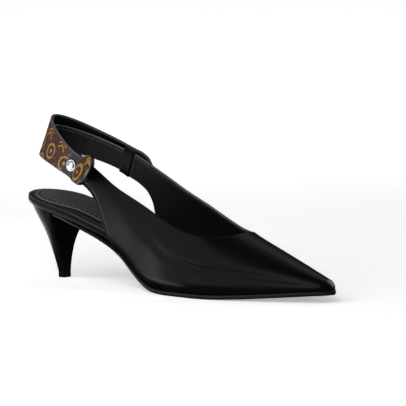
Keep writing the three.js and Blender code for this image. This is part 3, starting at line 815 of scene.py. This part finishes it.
slingEnd = turnBehind(1, 2 * shoe["gap"])
strip(
    "slingStrap",
    slingEnd,
    lambda t: 0.03 * np.cos(t),
    lambda t: 1 - strap["slingDrop"] * np.cos(t),
    lambda t: 0 * t - strap["slingThickness"],
    lambda t: 0 * t,
    ["blackLeather", "stitchedLining", "greyEdge", "lightEdge"],
    [2, 2, 2, 2, 3, 2],
    ["sling"],
)
strip(
    "bandCanvasStrap",
    strap["canvasEnd"],
    lambda t: 0 * t,
    bandHigh,
    lift,
    lambda t: lift(t) + strap["bandThickness"],
    ["bandCanvas", "bandLining", "greyEdge", "lightEdge"],
    # The band's lining carries painted shade, darker than the other lining, for the gap behind the band.
    [2, 3, 2, 2, 2, 2],
    ["canvas_band"],
)
print("straps made")

ringShape = {
    "outerCorner": 1.1,
    "innerCorner": 0.3,
    "cornerSteps": 5,
    "endRound": 0.35,
    "stations": [0, 0.06, 0.2, 0.4, 0.6, 0.8, 0.94, 1],
}


# A corner's places past an edge of the strap and off a face of it.
def ringLoop(grow, radius):
    loop = []
    for i, (edge, face) in enumerate(((1, 1), (0, 1), (0, -1), (1, -1))):
        for turn in np.pi / 2 * (i + np.linspace(0, 1, ringShape["cornerSteps"])):
            past = strap["keeperEase"] + grow - radius * (1 - abs(np.cos(turn)))
            off = strap["keeperSlack"] + grow - radius * (1 - abs(np.sin(turn)))
            loop.append((edge, past, off if face > 0 else -strap["slingThickness"] - off))
    return loop


# A keeper: a leather ring round the strap.
def keeper(side):
    points = []

    def ring(t, loop, shrink):
        turn = turnBehind(side, strap["keeperFront"] + strap["keeperLength"] * t)
        up = unit(slingFace(turn, 1) - slingFace(turn, 0))
        normal = slingNormal(turn, 0.5)
        for edge, past, depth in loop:
            past = (past - shrink) * (1 if edge else -1)
            depth -= np.sign(depth + strap["slingThickness"] / 2) * shrink
            points.append(slingFace(turn, edge) + up * past + normal * depth)

    outer = ringLoop(strap["keeperWall"], ringShape["outerCorner"])
    inner = ringLoop(0, ringShape["innerCorner"])
    stations = ringShape["stations"]
    for t in stations:
        ring(t, outer, ringShape["endRound"] if t in (0, 1) else 0)
    for t in reversed(stations):
        ring(t, inner, 0)
    rows, around = 2 * len(stations), len(outer)
    faces = gridFaces(rows + 1, around, wrap=True) % (rows * around)
    label = sideOf(side)
    node = "keeper_" + label
    makePiece("keeperRing_" + label, points, faces, ["keeperLeather"], [node])


# A disc's place from the keeper's middle, in shares of its diameter, and its turn in degrees.
discRows = rowsOf(
    ["side", "ahead", "out", "up", "turnBack", "tipUp"],
    [-1, 0.745, 0.56, -0.005, 24, 28],
    [1, 0.889, 0.489, -0.756, -15, 12],
)
disc = {"diameter": 22.5, "thickness": 3.2}


def discFrame(row):
    side = row["side"]
    centre = slingFace(turnBehind(side, strap["keeperFront"] + strap["keeperLength"] / 2), 0.5)
    centre = centre + disc["diameter"] * np.array([row["ahead"], side * row["out"], row["up"]])
    back, tip = math.radians(row["turnBack"]), math.radians(row["tipUp"])
    flat = math.cos(tip)
    return centre, np.array([-math.sin(back) * flat, side * math.cos(back) * flat, math.sin(tip)])


tongue = {"steps": 64, "overKeeper": 30, "rows": 12, "width": 0.84}  # width in disc diameters


# The band's leather end: over the keeper along the strap, then on to the back of the disc.
def strapEnd(row):
    side, label = row["side"], sideOf(row["side"])
    centre, faceNormal = discFrame(row)
    start = side * (strap["canvasEnd"] + math.pi / 2 - slingEnd)
    leaveTurn = side * (math.pi / 2 - 0.01)
    low, high = slingFace(leaveTurn, 0), slingFace(leaveTurn, strap["bandTop"])
    leaveUp = unit(high - low)
    leaveNormal = slingNormal(leaveTurn, 0.5)
    leave = (low + high) / 2 + leaveNormal * strap["keeperDepth"]
    ahead = np.cross(leaveNormal, leaveUp) * side
    reach = centre - faceNormal * (disc["thickness"] + shoe["gap"] + strap["bandThickness"])
    span = np.linalg.norm(reach - leave)
    bendAt = (reach - leave) @ faceNormal / (ahead @ faceNormal) / span
    forward = leave + ahead * span * np.clip(bendAt, 0.1, 0.7)
    flatUp = unit(np.array([0, 0, 1.0]) - faceNormal * faceNormal[2])
    v = np.linspace(0, 1, tongue["rows"] + 1)
    grid = []
    for t in np.arange(tongue["overKeeper"] + 1) / tongue["overKeeper"]:
        turn = mix(start, leaveTurn, t)
        up = v * bandHigh(turn)
        out = strap["keeperDepth"] + strap["bandThickness"]
        grid.append(slingFace(turn, up) + slingNormal(turn + 0 * up, up) * out)
    final = tongue["steps"] - tongue["overKeeper"]
    for t in np.arange(1, final + 1) / final:
        point = mix(mix(leave, forward, t), mix(forward, reach, t), t)
        normal = unit(mix(leaveNormal, faceNormal, smooth(t)))
        rise = unit(mix(leaveUp, flatUp, smooth(t)))
        wide = mix(np.linalg.norm(high - low), disc["diameter"] * tongue["width"], smooth(t))
        grid.append(point + np.outer((v - 0.5) * wide, rise) + normal * strap["bandThickness"])
    faces = gridFaces(len(grid), len(v))[:, ::-side]
    grid = np.concatenate(grid)
    points, faces, numbers, _ = sheet(grid, faces, strap["bandThickness"], [2, 3, 2, 2, 2, 2])
    materials = ["endLeather", "liningLeather", "greyEdge", "lightEdge"]
    nodes = ["strap_end_" + label]
    makePiece("strapEnd_" + label, points, faces, materials, nodes, numbers)


# A turned piece with its back at centre, facing along normal. The outline is (radius, height).
def turned(name, outline, around, centre, normal, materials, nodes, numbers):
    turn = np.linspace(0, 2 * np.pi, around, endpoint=False)
    sideways = unit(np.cross([0, 0, 1.0], normal))
    upward = np.cross(normal, sideways)
    along = np.concatenate([radius * np.cos(turn) for radius, _ in outline] + [[0, 0]])
    high = np.concatenate([radius * np.sin(turn) for radius, _ in outline] + [[0, 0]])
    out = np.array([height for _, height in outline])
    out = np.concatenate([np.repeat(out, around), out[[0, -1]]])
    points = centre + np.outer(out, normal) + np.outer(along, sideways) + np.outer(high, upward)
    faces = gridFaces(len(outline), around, wrap=True).tolist()
    back, front = len(points) - 2, len(points) - 1
    final = (len(outline) - 1) * around
    for j in range(around):
        k = (j + 1) % around
        faces += [[back, j, k], [front, final + k, final + j]]
    numbers = np.concatenate([np.repeat(numbers, around), np.tile(numbers[:: len(numbers) - 1], around)])
    values = {"along": along, "up": high}
    makePiece(name, points, faces, materials, nodes, numbers, values)


def discTab(row):
    label = sideOf(row["side"])
    centre, normal = discFrame(row)
    r, t = disc["diameter"] / 2, disc["thickness"]
    back = [(r - 0.7, 0), (r - 0.25, 0.15), (r, 0.6)]
    edge = [(r, t - 0.75), (r - 0.1, t - 0.4), (r - 0.35, t - 0.1)]
    face = [(r - 0.75, t), (r - 1.1, t - 0.12), (r - 1.5, t - 0.1), (r * 0.5, t)]
    materials = ["blackLeather", "greyEdge", "discCanvas"]
    turned(
        "discTab_" + label,
        back + edge + face,
        72,
        centre - normal * t,
        normal,
        materials,
        ["disc_" + label],
        [0, 0, 0, 0, 1, 1, 2, 2, 2],
    )


# A plain rivet: a flat brim, a groove and a low dome. Its turn is in degrees round the heel.
rivet = {
    "turn": 84,
    "row": 0.53,
    "brim": [(4.2, -0.3), (4.2, 0.35), (4.1, 0.6), (3.85, 0.75), (3.55, 0.7), (3.35, 0.55)],
    "dome": [(3.2, 0.75), (2.95, 1.15), (2.4, 1.6), (1.8, 1.9), (1.2, 2.08), (0.6, 2.17)],
}


def rivetDome(side):
    label, outline = sideOf(side), rivet["brim"] + rivet["dome"]
    turn = side * math.radians(rivet["turn"])
    normal = slingNormal(turn, rivet["row"])
    depth = strap["keeperDepth"] + strap["bandThickness"] + shoe["gap"]
    base = slingFace(turn, rivet["row"]) + normal * depth
    turned(
        "rivetDome_" + label,
        outline,
        48,
        base,
        normal,
        ["polishedMetal"],
        ["rivet_" + label],
        [0] * (len(outline) - 1),
    )


for row in discRows:
    keeper(row["side"])
    strapEnd(row)
    discTab(row)
    rivetDome(row["side"])
print("keepers, ends, discs and rivets made")

# The foot bed: rings that follow the insole's outline at an inset from its edge. The seat's rim
# shows round the sock, which draws in ahead of the seat.
bed = {"toeEnd": 6.5, "drawIn": 9}
bed["toe"] = toAt(toX(1) - shoe["wall"] - bed["toeEnd"])


def insoleInset(at):
    return (shoe["wall"] + shoe["gap"]) * smooth((at - 0.25) / 0.065)


def drawIn(x, inset):
    span = smooth((x - 2) / 26) * (1 - smooth((x - 70) / 40))
    return bed["drawIn"] * span * np.clip(inset / 5, 0, 1)


def bedRing(inset, toe):
    toeAt = toAt(toX(toe) - bed["toeEnd"])
    sides = np.linspace(toeAt, shoe["seatRound"] / shoe["length"], 150)
    away = insoleInset(sides) + inset + drawIn(toX(sides), inset)
    half = np.maximum(0.05, halfSpan(sides) - away)
    medial = np.stack([toX(sides), middle(sides) + half], -1)
    lateral = np.stack([toX(sides), middle(sides) - half], -1)
    turn = np.linspace(0, np.pi, 61)[1:-1]
    seatX = toX(0) + shoe["seatRound"] - (shoe["seatRound"] - inset) * np.sin(turn)
    at = toAt(seatX)
    seat = np.stack([seatX, middle(at) + (halfSpan(at) - inset) * np.cos(turn)], -1)
    nose = np.linspace(np.pi, 0, 17)[1:-1]
    noseHalf = max(float(halfSpan(toeAt) - insoleInset(toeAt) - inset), 0.05)
    noseX = toX(toeAt) + bed["toeEnd"] * np.sin(nose)
    front = np.stack([noseX, middle(toeAt) + noseHalf * np.cos(nose)], -1)
    return np.concatenate([medial, seat, lateral[::-1], front])


# Rings of (inset, rise) over the board's lower edge and over its top. At both ends of the loft
# the ring closes up to its middle line.
def bedLoft(name, low, top, material, slot, nodes, numbers, toe):
    rings, insets = [], []
    for rows, base in ((low, feather), (top, insoleTop)):
        for inset, rise in rows:
            ring = bedRing(inset, toe)
            rings.append(np.column_stack([ring, base(toAt(ring[:, 0])) + rise]))
            insets.append(inset)

    def closed(ring, share):
        flat = ring.copy()
        flat[:, 1] = mix(middle(toAt(ring[:, 0])), ring[:, 1], share)
        return flat

    closing = (0.75, 0.5, 0.25, 0)
    under = [closed(rings[0], share) for share in reversed(closing)]
    rings = under + rings + [closed(rings[-1], share) for share in closing]
    far = [20] * len(closing)  # an inset beyond every line on the rim
    around = len(rings[0])
    numbers = [numbers[0]] * len(closing) + numbers + [numbers[-1]] * len(closing)
    guide = np.linalg.norm(np.diff(bedRing(5, toe), axis=0), axis=1)
    along = np.tile(np.concatenate([[0], np.cumsum(guide)]), len(rings))
    values = {"inset": np.repeat(far + insets + far, around), "along": along}
    faces = gridFaces(len(rings), around, wrap=True)
    numbers = np.repeat(numbers, around)
    makePiece(name, np.concatenate(rings), faces, material, nodes, numbers, values)


# The board's covered rim: fine lines along the edge, a light one at the corner, and dark ones
# beside it and under the sock.
rimLook = {
    "roughness": 0.45,
    "specular": 0.12,
    "pitch": 1.1,
    "valley": (0.006, 0.006, 0.006),
    "crest": (0.045, 0.045, 0.0453),
    "corner": (0.1, 0.1, 0.1006),
    "cornerInset": 0.9,
    "shadow": (0.002, 0.002, 0.002),
    "shadowInset": 1.5,
    "sockEdge": 4.0,
}


def rimFinish(look):
    gloss = {"Roughness": look["roughness"], "Specular IOR Level": look["specular"]}
    finish = Finish("insoleRim", gloss)
    inset = finish.attribute("inset")
    lines = inset.repeat(look["pitch"])
    corner = finish.edgeLine(look["cornerInset"], 0.2, 0.45)
    shadow = finish.edgeLine(look["shadowInset"], 0.15, 0.35)
    shadow = shadow.max(inset.ramp(look["sockEdge"], look["sockEdge"] + 0.4))
    colour = finish.blend(lines.ramp(0.3, 0.7), look["valley"], look["crest"])
    colour = finish.blend(corner, colour, look["corner"])
    finish.set("Base Color", finish.blend(shadow, colour, look["shadow"]))
    finish.bump(lines + finish.noise(1500, 2) * 0.4, 0.08, 0.7)


# The sock's leather: light ridges at its edge and a groove of dark stitches inside them.
sockLook = {
    "shade": (0.06, 0.06, 0.0604),
    "worn": (0.085, 0.085, 0.0856),
    "ridges": {5.1: (0.13, 0.13, 0.1308), 6.9: (0.11, 0.11, 0.1107)},
    "stitch": {"inset": 8.0, "pitch": 4.2, "width": 1.5},
    "thread": (0.001, 0.001, 0.001),
}


def sockFinish(look):
    finish = Finish("stitchedSock", {"Roughness": 0.5, "Specular IOR Level": 0.1})
    colour = finish.blend(finish.noise(14, 2).ramp(0.3, 0.7), look["shade"], look["worn"])
    for inset, light in look["ridges"].items():
        colour = finish.blend(finish.edgeLine(inset, 0.2, 0.5), colour, light)
    finish.set("Base Color", finish.blend(finish.stitches(**look["stitch"]), colour, look["thread"]))
    grain = finish.noise(1500, 2) * 0.5 + finish.cells(700).ramp(0, 0.4) * 0.5
    finish.bump(grain, 0.08, 0.6)


insole = {
    "low": [(12, 0), (8, 0), (1.2, 0), (0.35, 0.15), (0.05, 0.5), (-0.1, 1.2)],
    "top": [
        (-0.15, -2.4), (-0.1, -1.6), (0.12, -1.25), (0.2, -1.1), (0.05, -0.9), (0, -0.6),
        (0.2, -0.25), (0.6, -0.02), (1.0, 0.02), (1.25, -0.12), (1.5, 0.05), (2.4, 0.22),
        (3.4, 0.22), (4.0, 0.05), (4.4, -0.35), (5.0, -0.5), (9.0, -0.5), (12, -0.5),
    ],
    "material": ["blackLeather", "insoleRim"],
    "numbers": [0] * 12 + [1] * 11,
    "toe": bed["toe"],
}
sock = {
    "low": [],
    "top": [
        (10, 0.2), (5.2, 0.2), (4.75, 0.3), (4.6, 0.5), (4.7, 0.8), (5.0, 1.05), (5.3, 1.0),
        (5.8, 0.85), (6.6, 1.1), (7.3, 1.2), (7.7, 1.0), (8.0, 0.9), (8.3, 1.0), (8.8, 1.4),
        (10, 1.75),
    ],
    "material": ["stitchedSock"],
    "numbers": [0] * 14,
    "toe": 0.86,
}
rimFinish(rimLook)
sockFinish(sockLook)
bedLoft("insoleBoard", **insole, slot="black_leather", nodes=["insole"])
bedLoft("sockPad", **sock, slot="sock_leather", nodes=["sock"])
print("foot bed made")

# The outsole's edge, from its top to its underside: inset and share of the thickness.
plate = {
    "breast": 10.3,
    "margin": 0.8,
    "waistInset": 2.2,
    "edge": [(0.9, 1), (0.35, 0.97), (0.08, 0.82), (0, 0.6), (0.06, 0.3), (0.4, 0.06), (1, 0)],
    "across": (-0.66, -0.33, 0, 0.33, 0.66),
    "painted": [*range(1, 6), *range(11, 17)],  # faces round the section that are its edge
    "wrapped": 70,  # the edge behind this is covered in black leather
}


# The outsole: a thin plate with a rounded edge.
def solePlate():
    start, nose = toAt(plate["breast"]), toAt(toX(1) - shoe["toeRound"])
    toe = mix(nose, 1, np.sin(np.linspace(0, np.pi / 2, 16)))
    at = np.concatenate([np.linspace(start, nose, 170, endpoint=False), toe])
    tip = tipShare(at, shoe["toeRound"])
    grow = smooth((at - start) / 0.1)
    half = halfWidth(at) + plate["margin"] * np.where(tip < 1, tip, grow)
    half = half - plate["waistInset"] * (1 - grow)
    x = toX(at) + plate["margin"] * (1 - tip)
    top, bottom = soleTop(np.minimum(toAt(x), 1)), under(np.minimum(toAt(x), 1))
    section = [(-1, inset, level) for inset, level in plate["edge"]]
    section += [(share, 1, 0) for share in plate["across"]]
    section += [(1, inset, level) for inset, level in reversed(plate["edge"])]
    section += [(share, 1, 1) for share in reversed(plate["across"])]
    loops = []
    for share, inset, level in section:
        y = middle(at) + share * np.maximum(half - inset, 0.02)
        loops.append(np.stack([x, y, mix(bottom, top, level)], -1))
    around = len(section)
    numbers = np.ones((len(at) - 1, around), int)
    numbers[:, plate["painted"]] = np.where(x[:-1, None] < plate["wrapped"], 2, 0)
    numbers = [*numbers.reshape(-1), 1, 1]
    points, faces = np.stack(loops, 1).reshape(-1, 3), tubeFaces(len(at), around)
    materials = ["soleEdge", "soleLeather", "blackLeather"]
    makePiece("outsolePlate", points, faces, materials, ["outsole"], numbers)


solePlate()
heelRows = rowsOf(
    ["level", "back", "breast", "half"],
    [0, 0, 0, 0],
    [0.2, 0.14, -0.12, 0.113],
    [0.4, 0.315, -0.12, 0.265],
    [0.6, 0.48, 0.03, 0.495],
    [0.8, 0.71, 0.48, 0.79],
    [0.92, 0.895, 0.75, 0.93],
    [1, 1, 1, 1],
)
heel = {
    "tipHeight": 4,
    "tipLength": 7.8,
    "tipWidth": 7.8,
    "inset": 2.2,
    "breast": 10,
    "corner": 0.3,
    "levels": 60,
    "around": 96,
    "topPiece": [(0.93, 0), (0.99, 0.25), (1, 0.6), (1, 4.2), (0.99, 4.28)],
}


def heelRing(back, breast, half):
    turn = np.linspace(0, 2 * np.pi, heel["around"], endpoint=False)
    c, s = np.cos(turn), np.sin(turn)
    x = np.where(c < 0, back * c, breast * np.abs(c) ** heel["corner"])
    y = np.where(c < 0, half * s, half * np.sign(s) * np.abs(s) ** heel["corner"])
    return x, y


def heelBlock():
    shape = columns(heelRows, "level", soften=0.05)
    foot = heel["tipHeight"] + shoe["gap"]
    length, width = heel["tipLength"] / 2, heel["tipWidth"] / 2
    loops = []
    for level in np.linspace(0, 1, heel["levels"]):
        back = mix(length, shoe["heelSetback"] - heel["inset"], shape["back"](level))
        breast = mix(length, heel["breast"], shape["breast"](level))
        half = mix(width, shoe["seatWidth"] / 2 - heel["inset"], shape["half"](level))
        x, y = heelRing(back, breast, half)
        loops.append(np.stack([x, y, mix(foot, feather(toAt(x)) - shoe["gap"], level)], -1))
    around = heel["around"]
    turn = np.linspace(0, 2 * np.pi, around, endpoint=False) + np.pi / around
    numbers = [*np.tile(np.where(np.cos(turn) > 0, 1, 0), heel["levels"] - 1), 0, 0]
    faces, materials = tubeFaces(heel["levels"], around), ["heelLeather", "breastLeather"]
    points = np.concatenate(loops)
    makePiece("heelCovered", points, faces, materials, ["heel"], numbers)
    x, y = heelRing(length, length, width)
    rings = [np.stack([x * k, y * k, 0 * x + z], -1) for k, z in heel["topPiece"]]
    points, faces = np.concatenate(rings), tubeFaces(len(rings), around)
    makePiece("heelTopPiece", points, faces, ["tipRubber"], ["heel_tip"])


heelBlock()
print("sole and heel made")

# Floor, light and camera. Angles are in degrees, and azimuths go round from the camera's own.
lens = {
    "azimuth": 37.09,
    "elevation": 6.55,
    "roll": -0.17,
    "distance": 2312.5,
    "focal": 3304.1,
    "aim": (104.4, 0, 50),
    "right": 17.02,
    "up": 10.3,
}


def toward(azimuth, elevation=0.0):
    a, e = math.radians(lens["azimuth"] + azimuth), math.radians(elevation)
    return np.array([math.sin(a) * math.cos(e), -math.cos(a) * math.cos(e), math.sin(e)])


def paper(name, shade, glow):
    colour = (shade, shade, shade)
    look = {"Base Color": colour, "Roughness": 0.9, "Emission Color": colour}
    return Finish(name, {**look, "Emission Strength": glow})


def stagePiece(name, points, faces, material, values):
    piece = addMesh(name, points * mm, faces, [material], values)
    return piece


bowl = {"centre": 100, "radius": 7000, "bend": 1500, "height": 4000, "around": 72}


# Pale paper all round: a floor and a bowl that rises at its rim. Both glow with painted light,
# dimmer near the shoe and brighter behind it and farther out. Leather sees neither of them, and
# the bowl is only a background.
def paperBowl():
    radius, bend = bowl["radius"], bowl["bend"]
    flat = [(r, 0) for r in (20, 200, 500, 800, 1100, 1400, 1800, 2400, 3200, 4500, radius)]
    turns = np.linspace(0, np.pi / 2, 16)
    rise = [(radius + bend * math.sin(t), bend * (1 - math.cos(t))) for t in turns]
    rise.append((radius + bend, bowl["height"]))
    finish = paper("palePaper", 0.88, 1)
    # Painted light: the paper's glow is dim near the shoe and bright behind it and farther out.
    light = finish.blend(finish.attribute("back"), (0.42,) * 3, (0.95,) * 3)
    finish.set("Emission Color", light)
    around = np.linspace(0, 2 * np.pi, bowl["around"], endpoint=False)
    for name, line in (("paperFloor", flat), ("paperBowl", rise)):
        rings = [(r * math.cos(t), r * math.sin(t), z) for r, z in line for t in around]
        points = np.array(rings, float)
        behind = -points @ toward(0)
        out = np.hypot(points[:, 0], points[:, 1])
        # Share of the painted glow: more behind the shoe and farther out.
        back = np.maximum(smooth((behind - 150) / 1300), smooth((out - 1000) / 1600))
        faces = gridFaces(len(line), bowl["around"], wrap=True)[:, ::-1].tolist()
        if name == "paperFloor":
            faces.append(list(range(bowl["around"])))
        points[:, 0] += bowl["centre"]
        piece = stagePiece(name, points, faces, "palePaper", {"back": back})
        piece.visible_glossy = False
        piece.visible_diffuse = name == "paperFloor"


paperBowl()

world = bpy.data.worlds.new("studio")
bpy.context.scene.world = world
world.use_nodes = True
background = world.node_tree.nodes["Background"]
background.inputs["Color"].default_value = (1, 1, 1, 1)
background.inputs["Strength"].default_value = 0.02


# A soft panel seen from the shoe at an azimuth and an elevation, with the angles that it spans,
# its brightness and its distance in metres.
def panel(name, azimuth, elevation, wide, tall, brightness, distance):
    way = Vector(toward(azimuth, elevation))
    light = bpy.data.lights.new(name, "AREA")
    light.shape = "RECTANGLE"
    light.size = 2 * distance * math.tan(math.radians(wide / 2))
    light.size_y = 2 * distance * math.tan(math.radians(tall / 2))
    light.energy = brightness * math.pi * light.size * light.size_y
    lamp = bpy.data.objects.new(name, light)
    lamp.location = Vector((0.1, 0, 0.04)) + way * distance
    lamp.rotation_mode = "QUATERNION"
    lamp.rotation_quaternion = (-way).to_track_quat("-Z", "Y")
    bpy.context.scene.collection.objects.link(lamp)


for row in rowsOf(
    ["name", "azimuth", "elevation", "wide", "tall", "brightness", "distance"],
    ["leftPanel", -58, 36, 70, 66, 2.0, 1.4],
    ["frontPanel", -10, 31, 16, 26, 6.0, 3.0],
    ["rearPanel", 150, 52, 40, 26, 1.0, 2.0],
):
    panel(**row)


# A bright card outside the view. A hidden one is seen only in reflections.
def card(name, points, glow, hidden=False):
    paper(name, 0.9, glow)
    piece = stagePiece(name, np.array(points), [[0, 1, 2, 3]], name, {})
    if hidden:
        piece.visible_camera = piece.visible_diffuse = piece.visible_shadow = False


# It stands upright across an azimuth, wide degrees of it, from low to high.
def standingCard(name, azimuth, wide, distance, low, high, glow, hidden):
    foot = [np.array([104, 0, 0]) + toward(azimuth + k * wide / 2) * distance for k in (-1, 1)]
    points = [foot[0] + [0, 0, low], foot[1] + [0, 0, low]]
    points += [foot[1] + [0, 0, high], foot[0] + [0, 0, high]]
    card(name, points, glow, hidden)


for row in rowsOf(
    ["name", "azimuth", "wide", "distance", "low", "high", "glow", "hidden"],
    ["rearCard", -97, 20, 330, 2, 32, 6.0, False],
    ["frontCard", -46, 30, 500, 15, 80, 4.0, False],
    ["medialCard", 118, 40, 600, 120, 620, 5.0, True],
):
    standingCard(**row)

# Two cards lie flat: one at the left of the view, and a small one beside the arch.
lyingCards = {
    "side": {"near": 143, "far": 900, "depth": 800, "height": 2, "glow": 3.5},
    "arch": {"feet": ([85, -30, 1.2], [150, -34, 1.2]), "near": 25, "far": 80, "glow": 7.5},
}


def sideCard(look):
    left, ahead = toward(-90), -toward(0) * look["depth"] / 2
    corner = np.array([*lens["aim"][:2], look["height"]]) - left * lens["right"]
    near, far = corner + left * look["near"], corner + left * look["far"]
    card("sideCard", [near - ahead, near + ahead, far + ahead, far - ahead], look["glow"])


def archCard(look):
    way, (rear, front) = toward(-96), np.array(look["feet"])
    near, far = way * look["near"], way * look["far"]
    points = [rear + near, rear + far, front + far, front + near]
    card("archCard", points, look["glow"], hidden=True)


sideCard(lyingCards["side"])
archCard(lyingCards["arch"])


def photoCamera():
    back, right = Vector(toward(0, lens["elevation"])), Vector(toward(90))
    up = back.cross(right)
    aim = Vector(lens["aim"]) + right * lens["right"] + up * lens["up"]
    camera = bpy.data.objects.new("photoCamera", bpy.data.cameras.new("photoCamera"))
    camera.data.sensor_width = 36
    camera.data.lens = lens["focal"] / 406 * 36
    camera.data.clip_start, camera.data.clip_end = 0.1, 50
    roll = Matrix.Rotation(math.radians(lens["roll"]), 3, "Z")
    turn = (Matrix((right, up, back)).transposed() @ roll).to_4x4()
    camera.matrix_world = Matrix.Translation((aim + back * lens["distance"]) * mm) @ turn
    bpy.context.scene.collection.objects.link(camera)
    bpy.context.scene.camera = camera


photoCamera()
bpy.context.scene.view_settings.view_transform = "Standard"

print("scene made")
